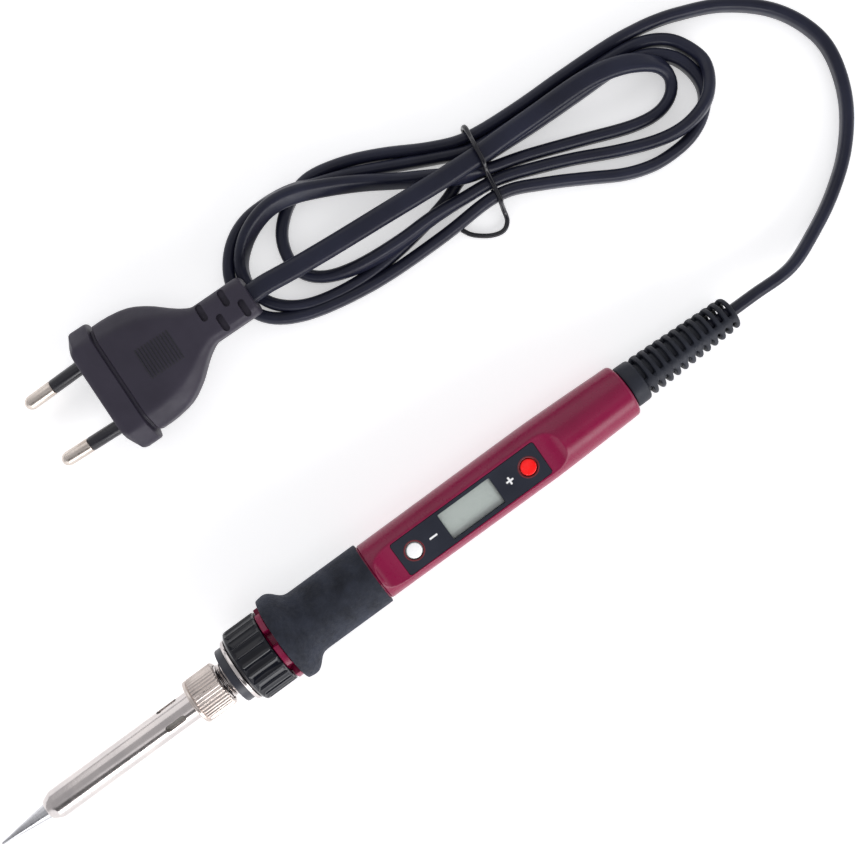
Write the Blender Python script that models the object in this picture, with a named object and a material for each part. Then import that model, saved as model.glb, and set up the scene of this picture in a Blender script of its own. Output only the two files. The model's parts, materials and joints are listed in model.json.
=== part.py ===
"""Hand-held soldering iron with a display in its handle, a tied hank of flat cord and a two-pin plug.

The iron is modelled along its own axis: X runs from the tip's point to the cord, and Z is the way
the display faces. Its empty then leans it on the flare of the grip and the tail of the handle.
The plug has an axis of its own. The cord, its hank and the twist tie are placed in the world.
"""
import math

import bmesh
import bpy
from mathutils import Matrix, Vector

MM = 0.001

# Fits
CLEARANCE = 0.3 * MM                # gap between neighbours
FINE_SEGMENTS = 36                  # sides of the large round pieces
COARSE_SEGMENTS = 20                # sides of the small round pieces
SMOOTH_ANGLE = math.radians(34)

# Tip, its point at x = 0
TIP_CONE_LENGTH = 15.1 * MM
TIP_POINT_RADIUS = 0.3 * MM
TIP_CONE_RADIUS = 2.15 * MM
TIP_PLAY = 0.5 * MM                 # gap between the tip's body and its sleeve
TIP_SHOULDER_LENGTH = 2.6 * MM
TIP_BODY_LENGTH = 26.3 * MM
TIP_BORE_DEPTH = 23.5 * MM

# Sleeve that covers the tip, with its vents
SLEEVE_FRONT = TIP_CONE_LENGTH - CLEARANCE
SLEEVE_LENGTH = 49.5 * MM
SLEEVE_RADIUS = 4.0 * MM
SLEEVE_WALL = 0.4 * MM
SLEEVE_BORE = SLEEVE_RADIUS - SLEEVE_WALL
SLEEVE_CONE_LENGTH = 2.7 * MM
SLEEVE_REAR = SLEEVE_FRONT + SLEEVE_LENGTH
SLEEVE_FLANGE_HEIGHT = 0.9 * MM
SLEEVE_FLANGE_LENGTH = 0.9 * MM
VENT_TO_REAR = 9.6 * MM
VENT_LENGTH = 6.2 * MM
VENT_WIDTH = 1.8 * MM
VENT_ANGLES = (math.radians(-6), math.radians(84))

# Threaded barrel and the heater inside it
BARREL_RADIUS = SLEEVE_RADIUS + SLEEVE_FLANGE_HEIGHT
BARREL_WALL = 0.7 * MM
BARREL_BORE = BARREL_RADIUS - BARREL_WALL
BARREL_FLANGE_LENGTH = 1.3 * MM
HEATER_RADIUS = 1.9 * MM
HEATER_TIP_GAP = 0.5 * MM
HEATER_FRONT = TIP_CONE_LENGTH + TIP_SHOULDER_LENGTH + TIP_BODY_LENGTH - TIP_BORE_DEPTH + HEATER_TIP_GAP
HEATER_BASE_SETBACK = 2.7 * MM
HEATER_BASE_LENGTH = 14.0 * MM

# Knurled nut that holds the sleeve on the threaded barrel
NUT_SHOULDER = 1.9 * MM
NUT_FRONT = SLEEVE_REAR - SLEEVE_FLANGE_LENGTH - CLEARANCE - NUT_SHOULDER
NUT_LENGTH = 9.1 * MM
NUT_WALL = 1.1 * MM
NUT_BORE = BARREL_RADIUS + CLEARANCE
NUT_RADIUS = NUT_BORE + NUT_WALL
NUT_CHAMFER = 0.8 * MM
KNURL_TEETH = 30
KNURL_DEPTH = 0.35 * MM

# Insulating bush, its flange held between the collar and the nose of the handle
BUSH_SETBACK = 8.5 * MM
BUSH_FRONT = SLEEVE_REAR + BUSH_SETBACK
BUSH_SHOWN = 6.1 * MM
BUSH_WALL = 3.0 * MM
BUSH_RADIUS = BARREL_RADIUS + BUSH_WALL
BUSH_LIP = 0.5 * MM
BUSH_FLANGE_FRONT = BUSH_FRONT + BUSH_SHOWN
BUSH_FLANGE_LENGTH = 1.2 * MM

# Nose of the handle, with its ring of lugs
NOSE_FRONT = BUSH_FLANGE_FRONT + BUSH_FLANGE_LENGTH + CLEARANCE
NOSE_LENGTH = 6.7 * MM
NOSE_STEP = 0.65 * MM
NOSE_RADIUS = BUSH_RADIUS + CLEARANCE + NOSE_STEP
NOSE_WALL = 1.35 * MM
NOSE_BORE = NOSE_RADIUS - NOSE_WALL
LUG_FRONT = NOSE_FRONT + NOSE_LENGTH
LUG_LENGTH = 1.7 * MM
LUG_COUNT = 6
LUG_GAP = 4.4 * MM
LUG_PHASE = math.radians(33)

# Ends of the pieces inside the nose
BARREL_REAR = LUG_FRONT - 2 * CLEARANCE
BUSH_REAR = BARREL_REAR - BARREL_FLANGE_LENGTH - CLEARANCE
HEATER_TAIL = 0.8 * MM
HEATER_REAR = BARREL_REAR + HEATER_TAIL

# Fluted collar and the bright ring in front of it
COLLAR_SHOULDER = 2.0 * MM
COLLAR_FRONT = BUSH_FLANGE_FRONT - CLEARANCE - COLLAR_SHOULDER
COLLAR_REAR = LUG_FRONT - CLEARANCE
COLLAR_WALL = 1.25 * MM
COLLAR_BORE = NOSE_RADIUS + CLEARANCE
COLLAR_RADIUS = COLLAR_BORE + COLLAR_WALL
COLLAR_RIM = 1.5 * MM
FLUTES = 24
FLUTE_DEPTH = 0.4 * MM
LUG_RISE = 0.2 * MM                 # lugs stand this much above the collar
LUG_RADIUS = COLLAR_RADIUS + LUG_RISE
RING_LENGTH = 1.1 * MM
RING_FRONT = COLLAR_FRONT - CLEARANCE - RING_LENGTH
RING_WALL = 0.8 * MM
RING_BORE = BUSH_RADIUS + CLEARANCE
RING_RADIUS = RING_BORE + RING_WALL

# Foam grip on the stem of the handle
GRIP_FRONT = LUG_FRONT + LUG_LENGTH + CLEARANCE
GRIP_LENGTH = 29.2 * MM
STEM_STEP = 0.95 * MM
STEM_RADIUS = NOSE_RADIUS - STEM_STEP
STEM_WALL = 1.4 * MM
STEM_BORE = STEM_RADIUS - STEM_WALL
GRIP_WALL = 0.8 * MM
GRIP_RADIUS = STEM_RADIUS + CLEARANCE + GRIP_WALL
FLARE_RISE = 3.4 * MM
FLARE_RADIUS = GRIP_RADIUS + FLARE_RISE
FLARE_LENGTH = 2.9 * MM
FLARE_CHAMFER = 0.9 * MM
FLARE_FALL = 6.4 * MM

# Coloured length of the handle
HANDLE_FRONT = GRIP_FRONT + GRIP_LENGTH + CLEARANCE
HANDLE_LENGTH = 81.7 * MM
HANDLE_END = HANDLE_FRONT + HANDLE_LENGTH
HANDLE_INSET = 0.6 * MM             # handle is this much slimmer than the grip
HANDLE_RADIUS = GRIP_RADIUS - HANDLE_INSET
HANDLE_FRONT_FALL = 0.2 * MM
HANDLE_TAIL_FALL = 0.8 * MM
HANDLE_TAIL_RADIUS = HANDLE_RADIUS - HANDLE_TAIL_FALL
HANDLE_WALL = 1.6 * MM
HANDLE_BORE = HANDLE_RADIUS - HANDLE_WALL
TAIL_CHAMBER = HANDLE_BORE - 0.5 * MM
TAIL_BORE = HANDLE_TAIL_RADIUS - 2.1 * MM
TAIL_WALL_LENGTH = 2.8 * MM

# Display: panel in a flat facet, clear cover, buttons
PANEL_SETBACK = 7.4 * MM
PANEL_FRONT = HANDLE_FRONT + PANEL_SETBACK
PANEL_LENGTH = 45.6 * MM
PANEL_WIDTH = 9.9 * MM
PANEL_THICKNESS = 0.9 * MM
PANEL_CORNER = 0.7 * MM
PANEL_MARGIN = 0.82 * MM            # flat left beside the panel
PANEL_MIDDLE = PANEL_FRONT + PANEL_LENGTH / 2
FACET_HEIGHT = math.sqrt(HANDLE_RADIUS ** 2 - (PANEL_WIDTH / 2 + PANEL_MARGIN) ** 2)
FACET_START = HANDLE_FRONT + 0.6 * MM
FACET_TAIL = 5.3 * MM
FACET_END = PANEL_FRONT + PANEL_LENGTH + FACET_TAIL
FACET_WALL = 1.9 * MM
INNER_FLAT = FACET_HEIGHT - FACET_WALL
LCD_LENGTH = 16.9 * MM
LCD_BORDER = 0.8 * MM               # panel left on each side of the window
LCD_WIDTH = PANEL_WIDTH - 2 * LCD_BORDER
LCD_RECESS = 0.35 * MM
LCD_COVER_THICKNESS = 0.5 * MM
MODULE_OVERLAP = 0.75 * MM          # module past each end of the window
MODULE_LENGTH = LCD_LENGTH + 2 * MODULE_OVERLAP
MODULE_INSET = 0.2 * MM
MODULE_WIDTH = LCD_WIDTH - 2 * MODULE_INSET
MODULE_THICKNESS = 1.7 * MM
BUTTON_INSET = 4.5 * MM             # from each end of the panel to a button's centre
MINUS_CENTRE = PANEL_FRONT + BUTTON_INSET
MINUS_RADIUS = 2.1 * MM
PLUS_CENTRE = PANEL_FRONT + PANEL_LENGTH - BUTTON_INSET
PLUS_RADIUS = 2.2 * MM
BUTTON_FLANGE = 0.5 * MM
BUTTON_FLANGE_THICKNESS = 0.5 * MM
BUTTON_PROUD = 0.3 * MM
BUTTON_TRAVEL = 0.4 * MM
BUTTON_EDGE = 0.25 * MM

# Boot on the cord
BOOT_COLLAR_RADIUS = 6.1 * MM
BOOT_COLLAR_LENGTH = 4.6 * MM
BOOT_FLANGE_LENGTH = 1.7 * MM
BOOT_FRONT = HANDLE_END - TAIL_WALL_LENGTH - CLEARANCE - BOOT_FLANGE_LENGTH
BOOT_RIBS = 12
BOOT_RIB_PITCH = 2.53 * MM
BOOT_RIB_WIDTH = 1.0 * MM
BOOT_FRONT_RIB_RADIUS = 5.6 * MM
BOOT_REAR_RIB_RADIUS = 4.4 * MM
BOOT_RIB_DEPTH = 1.5 * MM
BOOT_SPINES = 3
BOOT_SPINE_ANGLE = math.radians(12)
BOOT_SPINE_HALF = math.radians(14)
BOOT_NOSE = 1.4 * MM
BOOT_END = HANDLE_END + CLEARANCE + BOOT_COLLAR_LENGTH + BOOT_RIBS * BOOT_RIB_PITCH

# Flat cord, drawn as a round tube of the same section area
CORD_WIDTH = 5.5 * MM
CORD_THICKNESS = 3.3 * MM
CORD_RADIUS = math.sqrt(CORD_WIDTH * CORD_THICKNESS) / 2
CORD_END_LENGTH = 6.2 * MM
CORD_END_FRONT = BOOT_FRONT - CLEARANCE - CORD_END_LENGTH
CORD_TIE_LENGTH = 2.5 * MM
CORD_TIE_WALL = 0.9 * MM
CORD_TIE_HEAD = (3.4 * MM, 4.4 * MM, 2.4 * MM)
CORD_POINT_SPACING = 4.6 * MM

# Circuit board and what is soldered to it
STRIP_WIDTH = 1.3 * MM
STRIP_LENGTH = 17.0 * MM
STRIP_HEIGHT = 1.3 * MM
MODULE_TOP = FACET_HEIGHT - PANEL_THICKNESS - CLEARANCE
BOARD_TOP = MODULE_TOP - MODULE_THICKNESS - STRIP_HEIGHT - 2 * CLEARANCE
BOARD_THICKNESS = 1.0 * MM
BOARD_BOTTOM = BOARD_TOP - BOARD_THICKNESS
BOARD_SIDE_PLAY = 0.85 * MM
BOARD_WIDTH = 2 * (math.sqrt(HANDLE_BORE ** 2 - BOARD_TOP ** 2) - BOARD_SIDE_PLAY)
BOARD_OVERHANG = 3.1 * MM           # board ahead of the panel
BOARD_FRONT = PANEL_FRONT - BOARD_OVERHANG
BOARD_TO_CORD = 6.5 * MM
BOARD_REAR = CORD_END_FRONT - BOARD_TO_CORD
SWITCH_WIDTH = 4.4 * MM
SWITCH_STUD = 1.8 * MM
SWITCH_STUD_HEIGHT = 0.4 * MM
RESISTOR_PLACE = 0.23               # places along the board, as shares of its length
CHIP_PLACE = 0.45
CAPACITOR_PLACE = 0.67
TRIAC_PLACE = 0.89
RESISTOR_RADIUS = 1.2 * MM
RESISTOR_LENGTH = 7.0 * MM
CHIP_SIZE = (7.0 * MM, 5.0 * MM, 1.0 * MM)
CAPACITOR_RADIUS = 2.5 * MM
CAPACITOR_LENGTH = 9.0 * MM
TRIAC_SIZE = (6.5 * MM, 6.0 * MM, 2.3 * MM)
WIRE_RADIUS = 0.4 * MM
MAINS_WIRE_RADIUS = 0.6 * MM

# Plug
PLUG_WIDTH = 36.0 * MM
PLUG_HEIGHT = 13.7 * MM
PLUG_FLANGE = 7.0 * MM
PLUG_CHAMFER = 1.8 * MM
PLUG_GROOVE = 0.9 * MM
PLUG_LENGTH = 47.8 * MM
PLUG_BODY_INSET = 1.8 * MM          # body narrower than the flange, on each side
PLUG_BODY_WIDTH = PLUG_WIDTH - 2 * PLUG_BODY_INSET
PLUG_BODY_DROP = 0.3 * MM
PLUG_GROOVE_DEPTH = 0.8 * MM
PLUG_GROOVE_EDGE = 0.2 * MM
PLUG_NOSE_INSET = 4.2 * MM
PLUG_NOSE_DROP = 0.5 * MM
PLUG_NOSE_SLOPE = (1.5 * MM, 3.0 * MM)      # across and down, at each corner of a section
PLUG_FLANGE_SLOPE = (4.8 * MM, 4.4 * MM)
PLUG_BODY_SLOPE = (4.6 * MM, 3.6 * MM)
PLUG_TAIL_SLOPE = (1.6 * MM, 1.6 * MM)
PLUG_END_SLOPE = (1.3 * MM, 1.3 * MM)
PLUG_END_ROUND = 0.9 * MM
PLUG_TAIL_WIDTH = 11.2 * MM
PLUG_TAIL_HEIGHT = 8.8 * MM
PLUG_TAIL_LENGTH = 14.5 * MM
TAIL_SLOT_WIDTH = 1.4 * MM
TAIL_SLOT_LENGTH = 4.2 * MM
TAIL_SLOT_OFFSET = 2.6 * MM
TAIL_SLOT_DEPTH = 1.6 * MM
PLUG_LEAD_LENGTH = 5.0 * MM
PLUG_FACE_X = -30.2 * MM
PLUG_FACE_Y = 80.0 * MM
PLUG_LIFT = math.radians(4.5)
PLUG_TURN = math.radians(-2.2)
PIN_RADIUS = 2.0 * MM
PIN_LENGTH = 19.0 * MM
PIN_SPACING = 18.8 * MM
PIN_SLEEVE_LENGTH = 10.0 * MM
PIN_SLEEVE_WALL = 0.4 * MM
PIN_ROOT = 4.7 * MM
PIN_TOE_IN = math.radians(1.7)

# Hank and twist tie
HANK_HEIGHT = 13.0 * MM
HANK_POINT_SPACING = 5.5 * MM
TAIL_NOTCH_REACH = 12.0 * MM        # notch in the hank, forward of the end of the plug's tail
TIE_RADIUS = 0.65 * MM
TIE_POINT_SPACING = 2.2 * MM
TIE_GROOVE_WIDTH = 2.4 * MM
TIE_GROOVE_HEIGHT = 2.0 * MM
TIE_CENTRE = (87.2 * MM, 70.3 * MM)
TIE_SLANT = math.radians(-10.7)

DISPLAY_ROLL = math.radians(12)

# Route of the cord's loose length, from the boot to the hank, after its straight start
LEAD_ROUTE = (
    (137.5, 0.0, 4.5),
    (148.5, 4.1, 3.4),
    (158.6, 9.4, 2.85),
    (168.6, 17.2, 2.75),
    (176.7, 28.0, 2.75),
    (180.7, 40.6, 2.75),
    (179.2, 50.6, 2.75),
    (173.7, 59.9, 2.75),
    (164.0, 67.9, 2.75),
    (153.6, 72.6, 2.75),
    (147.4, 74.6, 2.75),
    (143.2, 75.1, 2.75),
)
LEAD_STRAIGHT = 8.0 * MM

# Outline of the tied hank, from one edge of the face where the cord leaves it to the other
HANK_OUTLINE = (
    (142.9, 78.0),
    (130.0, 78.3),
    (110.0, 77.7),
    (96.0, 78.3),
    (86.0, 80.6),
    (76.0, 85.4),
    (66.0, 91.2),
    (54.0, 95.2),
    (45.0, 96.0),
    (35.0, 97.6),
    (26.0, 96.6),
    (18.0, 92.0),
    (13.2, 85.0),
    (12.6, 77.0),
    (17.0, 70.0),
    (24.0, 66.0),
    (36.0, 62.0),
    (50.0, 59.7),
    (68.0, 60.2),
    (85.0, 61.2),
    (94.0, 58.5),
    (106.0, 50.5),
    (118.0, 44.0),
    (129.0, 41.7),
    (139.0, 43.8),
    (147.0, 48.5),
    (151.6, 54.5),
    (151.4, 61.0),
    (148.0, 68.0),
    (142.9, 72.2),
)

# Route of the twist tie: its loose loop, then once around the hank
TIE_ROUTE = (
    (73.0, 60.0, 1.0),
    (74.6, 57.2, 0.8),
    (78.4, 54.2, 0.8),
    (82.0, 53.2, 0.8),
    (84.4, 54.8, 0.9),
    (85.1, 57.6, 2.4),
    (85.2, 59.3, 6.5),
    (85.3, 59.4, 12.6),
    (85.7, 61.0, 14.1),
    (87.2, 70.3, 14.1),
    (88.7, 79.6, 14.1),
    (89.0, 81.5, 12.8),
    (89.0, 81.6, 6.5),
    (89.0, 81.4, 1.6),
    (88.7, 79.6, 0.7),
    (87.2, 70.3, 0.7),
    (86.1, 63.4, 0.7),
)


# Scene and materials

def clear_scene():
    for thing in list(bpy.data.objects):
        bpy.data.objects.remove(thing, do_unlink=True)


def make_material(name, colour, roughness, metallic=0.0, alpha=1.0):
    material = bpy.data.materials.new(name)
    material.use_nodes = True
    shader = material.node_tree.nodes["Principled BSDF"]
    shader.inputs["Base Color"].default_value = (*colour, 1.0)
    shader.inputs["Roughness"].default_value = roughness
    shader.inputs["Metallic"].default_value = metallic
    shader.inputs["Alpha"].default_value = alpha
    return material


def bright_steel():
    return make_material("bright_steel", (0.60, 0.57, 0.56), 0.28, 1.0)


def nickel_plate():
    return make_material("nickel_plate", (0.62, 0.55, 0.50), 0.35, 1.0)


def tip_plating():
    return make_material("tip_plating", (0.52, 0.52, 0.55), 0.38, 1.0)


def white_ceramic():
    return make_material("white_ceramic", (0.85, 0.83, 0.78), 0.55)


def burgundy_plastic():
    return make_material("burgundy_plastic", (0.24, 0.010, 0.062), 0.32)


def foam_rubber():
    return make_material("foam_rubber", (0.018, 0.020, 0.032), 0.75)


def black_gloss():
    return make_material("black_gloss", (0.008, 0.009, 0.016), 0.16)


def bush_plastic():
    return make_material("bush_plastic", (0.028, 0.030, 0.045), 0.42)


def panel_plastic():
    return make_material("panel_plastic", (0.014, 0.017, 0.028), 0.4)


def clear_plastic():
    return make_material("clear_plastic", (0.80, 0.84, 0.82), 0.08, 0.0, 0.35)


def lcd_glass():
    return make_material("lcd_glass", (0.36, 0.41, 0.37), 0.25)


def white_plastic():
    return make_material("white_plastic", (0.90, 0.90, 0.90), 0.35)


def red_plastic():
    return make_material("red_plastic", (0.90, 0.012, 0.012), 0.3)


def board_laminate():
    return make_material("board_laminate", (0.02, 0.16, 0.06), 0.45)


def part_epoxy():
    return make_material("part_epoxy", (0.02, 0.02, 0.02), 0.5)


def wire_jacket():
    return make_material("wire_jacket", (0.75, 0.72, 0.66), 0.5)


def cord_vinyl():
    return make_material("cord_vinyl", (0.013, 0.014, 0.030), 0.34)


def plug_vinyl():
    return make_material("plug_vinyl", (0.042, 0.036, 0.056), 0.5)


# Building blocks

def finish_object(name, mesh, material, parent=None, place=None):
    """Link one piece, with smooth shading that stops at its corners."""
    mesh.materials.append(material)
    mesh.shade_smooth()
    mesh.set_sharp_from_angle(angle=SMOOTH_ANGLE)
    piece = bpy.data.objects.new(name, mesh)
    bpy.context.scene.collection.objects.link(piece)
    piece.parent = parent
    if place is not None:
        piece.matrix_local = place
    return piece


def skin_mesh(name, rings, looped=False):
    """One closed body through equal rings of points, capped at its ends or joined end to start."""
    shape = bmesh.new()
    loops = [[shape.verts.new(point) for point in ring] for ring in rings]
    pairs = list(zip(loops, loops[1:]))
    if looped:
        pairs.append((loops[-1], loops[0]))
    else:
        shape.faces.new(loops[0])
        shape.faces.new(loops[-1])
    for first, second in pairs:
        for index, corner in enumerate(first):
            after = (index + 1) % len(first)
            shape.faces.new((corner, first[after], second[after], second[index]))
    bmesh.ops.recalc_face_normals(shape, faces=shape.faces)
    if shape.calc_volume(signed=True) < 0:
        bmesh.ops.reverse_faces(shape, faces=shape.faces)
    mesh = bpy.data.meshes.new(name)
    shape.to_mesh(mesh)
    shape.free()
    return mesh


def circle(x, radius, segments, offset=0.0):
    """Ring of points around the X axis."""
    step = 2 * math.pi / segments
    angles = [offset + step * index for index in range(segments)]
    return [Vector((x, radius * math.sin(angle), radius * math.cos(angle))) for angle in angles]


def turned(name, profile, material, segments=FINE_SEGMENTS, parent=None, place=None, looped=False):
    """Piece turned around its own X axis from (x, radius) points; a looped profile is a tube's."""
    rings = [circle(x, radius, segments) for x, radius in profile]
    return finish_object(name, skin_mesh(name, rings, looped), material, parent, place)


def box_mesh(name, low, high):
    """Box between two corners."""
    shape = bmesh.new()
    bmesh.ops.create_cube(shape, size=1.0)
    size = Vector(high) - Vector(low)
    middle = (Vector(high) + Vector(low)) / 2
    place = Matrix.Translation(middle) @ Matrix.Diagonal((*size, 1.0))
    bmesh.ops.transform(shape, matrix=place, verts=shape.verts)
    mesh = bpy.data.meshes.new(name)
    shape.to_mesh(mesh)
    shape.free()
    return mesh


def box(name, low, high, material, parent):
    return finish_object(name, box_mesh(name, low, high), material, parent)


def prism_mesh(name, outline, axis_vector):
    """Flat outline of points, carried along a vector."""
    return skin_mesh(name, [outline, [point + axis_vector for point in outline]])


def rounded_rectangle(x_low, x_high, half_width, corner, z, steps=3):
    """Outline in the XY plane with round corners."""
    centres = (
        (x_high - corner, half_width - corner, 0),
        (x_low + corner, half_width - corner, 90),
        (x_low + corner, corner - half_width, 180),
        (x_high - corner, corner - half_width, 270),
    )
    outline = []
    for centre_x, centre_y, start in centres:
        for step in range(steps + 1):
            angle = math.radians(start + 90 * step / steps)
            offset = Vector((corner * math.cos(angle), corner * math.sin(angle), 0))
            outline.append(Vector((centre_x, centre_y, z)) + offset)
    return outline


def carve(piece, name, mesh, parent, place=None):
    """Cut a hidden tool's shape out of a piece."""
    tool = bpy.data.objects.new(name, mesh)
    bpy.context.scene.collection.objects.link(tool)
    tool.parent = parent
    if place is not None:
        tool.matrix_local = place
    tool.hide_render = True
    tool.display_type = "WIRE"
    cut = piece.modifiers.new(name, "BOOLEAN")
    cut.operation = "DIFFERENCE"
    cut.solver = "EXACT"
    cut.object = tool


def smooth_curve(points, spacing, closed=False):
    """Evenly spaced points on a smooth curve through the given ones."""
    count = len(points)
    spans = count if closed else count - 1
    dense = []
    for span in range(spans):
        if closed:
            before, start, end, after = (points[(span + shift) % count] for shift in (-1, 0, 1, 2))
        else:
            start, end = points[span], points[span + 1]
            before = points[span - 1] if span > 0 else start * 2 - end
            after = points[span + 2] if span + 2 < count else end * 2 - start
        for step in range(24):
            t = step / 24
            dense.append(0.5 * (2 * start + (end - before) * t
                                + (2 * before - 5 * start + 4 * end - after) * t * t
                                + (3 * start - before - 3 * end + after) * t ** 3))
    dense.append(points[0] if closed else points[-1])
    lengths = [(b - a).length for a, b in zip(dense, dense[1:])]
    total = sum(lengths)
    pieces = max(1, round(total / spacing))
    even = [dense[0]]
    travelled = 0.0
    for index, length in enumerate(lengths):
        while travelled + length >= total * len(even) / pieces and len(even) < pieces:
            share = (total * len(even) / pieces - travelled) / length
            even.append(dense[index].lerp(dense[index + 1], share))
        travelled += length
    even.append(dense[-1])
    return even


def tube(name, points, radius, material, parent=None, sides_resolution=2):
    """Round tube with filled ends along a line of points."""
    curve = bpy.data.curves.new(name, "CURVE")
    curve.dimensions = "3D"
    curve.bevel_depth = radius
    curve.bevel_resolution = sides_resolution
    curve.use_fill_caps = True
    spline = curve.splines.new("POLY")
    spline.points.add(len(points) - 1)
    for spot, point in zip(spline.points, points):
        spot.co = (*point, 1.0)
    curve.materials.append(material)
    piece = bpy.data.objects.new(name, curve)
    bpy.context.scene.collection.objects.link(piece)
    piece.parent = parent
    return piece


def along_z(x, z=0.0, y=0.0):
    """Place for a turned piece whose own X axis points the way the display faces."""
    return Matrix.Translation((x, y, z)) @ Matrix.Rotation(math.radians(-90), 4, "Y")


def empty(name):
    axis = bpy.data.objects.new(name, None)
    bpy.context.scene.collection.objects.link(axis)
    return axis


def millimetres(points):
    return [Vector(point) * MM for point in points]


# Front end

def soldering_tip(iron):
    bore = HEATER_RADIUS + CLEARANCE
    body = SLEEVE_BORE - TIP_PLAY
    shoulder_end = TIP_CONE_LENGTH + TIP_SHOULDER_LENGTH
    rear = shoulder_end + TIP_BODY_LENGTH
    profile = (
        (0.0, TIP_POINT_RADIUS),
        (TIP_CONE_LENGTH * 0.97, TIP_CONE_RADIUS),
        (TIP_CONE_LENGTH, TIP_CONE_RADIUS),
        (shoulder_end, body),
        (rear, body),
        (rear, bore),
        (rear - TIP_BORE_DEPTH, bore),
        (rear - TIP_BORE_DEPTH - bore * 0.6, bore * 0.1),
    )
    return turned("soldering_tip", profile, tip_plating(), 24, iron)


def slot_outline(centre, length, width, steps=5):
    """Slot with round ends in the XY plane."""
    outline = []
    for side in (0, 1):
        middle = centre + (length - width) / 2 * (1 if side == 0 else -1)
        for step in range(steps + 1):
            angle = math.radians(-90 + 180 * step / steps + 180 * side)
            outline.append(Vector((middle + width / 2 * math.cos(angle), width / 2 * math.sin(angle), 0)))
    return outline


def tip_sleeve(iron, steel):
    hole = TIP_CONE_RADIUS + CLEARANCE
    cone_end = SLEEVE_FRONT + SLEEVE_CONE_LENGTH
    flange_front = SLEEVE_REAR - SLEEVE_FLANGE_LENGTH
    profile = (
        (SLEEVE_FRONT, hole),
        (SLEEVE_FRONT, hole + SLEEVE_WALL),
        (cone_end, SLEEVE_RADIUS),
        (flange_front, SLEEVE_RADIUS),
        (flange_front, BARREL_RADIUS),
        (SLEEVE_REAR, BARREL_RADIUS),
        (SLEEVE_REAR, SLEEVE_BORE),
        (cone_end + SLEEVE_WALL / 2, SLEEVE_BORE),
    )
    sleeve = turned("tip_sleeve", profile, steel, FINE_SEGMENTS, iron, None, True)
    depth = 2.4 * SLEEVE_RADIUS
    outline = slot_outline(SLEEVE_REAR - VENT_TO_REAR, VENT_LENGTH, VENT_WIDTH)
    lowered = [point - Vector((0, 0, depth / 2)) for point in outline]
    for index, angle in enumerate(VENT_ANGLES):
        mesh = prism_mesh("vent_cutter", lowered, Vector((0, 0, depth)))
        carve(sleeve, f"vent_cutter_{index}", mesh, iron, Matrix.Rotation(angle, 4, "X"))
    return sleeve


def toothed_ring(x, crest, root, teeth, pattern):
    """Ring whose points step between a crest and a root radius; pattern has 1 at a crest."""
    count = teeth * len(pattern)
    points = []
    for index in range(count):
        radius = crest if pattern[index % len(pattern)] else root
        angle = 2 * math.pi * index / count
        points.append(Vector((x, radius * math.sin(angle), radius * math.cos(angle))))
    return points


def sleeve_nut(iron):
    """Straight-knurled nut; its front shoulder draws the sleeve's flange against the barrel."""
    rear = NUT_FRONT + NUT_LENGTH
    hole = SLEEVE_RADIUS + CLEARANCE
    root = NUT_RADIUS - KNURL_DEPTH
    sides = 2 * KNURL_TEETH
    rings = [
        circle(NUT_FRONT, hole, sides),
        circle(NUT_FRONT, NUT_RADIUS - NUT_CHAMFER, sides),
        circle(NUT_FRONT + NUT_CHAMFER * 0.6, root, sides),
        toothed_ring(NUT_FRONT + NUT_CHAMFER, NUT_RADIUS, root, KNURL_TEETH, (1, 0)),
        toothed_ring(rear - NUT_CHAMFER * 0.6, NUT_RADIUS, root, KNURL_TEETH, (1, 0)),
        circle(rear - NUT_CHAMFER * 0.2, root, sides),
        circle(rear, NUT_BORE + CLEARANCE, sides),
        circle(rear - NUT_CHAMFER * 0.3, NUT_BORE, sides),
        circle(NUT_FRONT + NUT_SHOULDER, NUT_BORE, sides),
        circle(NUT_FRONT + NUT_SHOULDER, hole, sides),
    ]
    return finish_object("sleeve_nut", skin_mesh("sleeve_nut", rings, True), nickel_plate(), iron)


def threaded_barrel(iron, steel):
    front = SLEEVE_REAR + CLEARANCE
    flange_front = BARREL_REAR - BARREL_FLANGE_LENGTH
    bore = BARREL_BORE
    flange = NOSE_BORE - CLEARANCE
    profile = (
        (front, bore),
        (front, BARREL_RADIUS - 0.3 * MM),
        (front + 0.5 * MM, BARREL_RADIUS),
        (flange_front, BARREL_RADIUS),
        (flange_front, flange),
        (BARREL_REAR, flange),
        (BARREL_REAR, bore),
    )
    return turned("threaded_barrel", profile, steel, 28, iron, None, True)


def heater_core(iron):
    base_front = SLEEVE_REAR + HEATER_BASE_SETBACK
    base_rear = base_front + HEATER_BASE_LENGTH
    base = BARREL_BORE - CLEARANCE
    profile = (
        (HEATER_FRONT, HEATER_RADIUS * 0.8),
        (HEATER_FRONT + 0.4 * MM, HEATER_RADIUS),
        (base_front, HEATER_RADIUS),
        (base_front, base),
        (base_rear, base),
        (base_rear, HEATER_RADIUS),
        (HEATER_REAR, HEATER_RADIUS),
    )
    return turned("heater_core", profile, white_ceramic(), COARSE_SEGMENTS, iron)


def heater_bush(iron):
    """Dark insulator between the hot barrel and the handle."""
    bore = BARREL_RADIUS + CLEARANCE
    flange_rear = BUSH_FLANGE_FRONT + BUSH_FLANGE_LENGTH
    profile = (
        (BUSH_FRONT, bore),
        (BUSH_FRONT, BUSH_RADIUS - 2.2 * BUSH_LIP),
        (BUSH_FRONT + BUSH_LIP, BUSH_RADIUS - BUSH_LIP),
        (BUSH_FRONT + 2 * BUSH_LIP, BUSH_RADIUS),
        (BUSH_FLANGE_FRONT, BUSH_RADIUS),
        (BUSH_FLANGE_FRONT, NOSE_RADIUS),
        (flange_rear, NOSE_RADIUS),
        (flange_rear, NOSE_BORE - CLEARANCE),
        (BUSH_REAR, NOSE_BORE - CLEARANCE),
        (BUSH_REAR, bore),
    )
    return turned("heater_bush", profile, bush_plastic(), FINE_SEGMENTS, iron, None, True)


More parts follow.
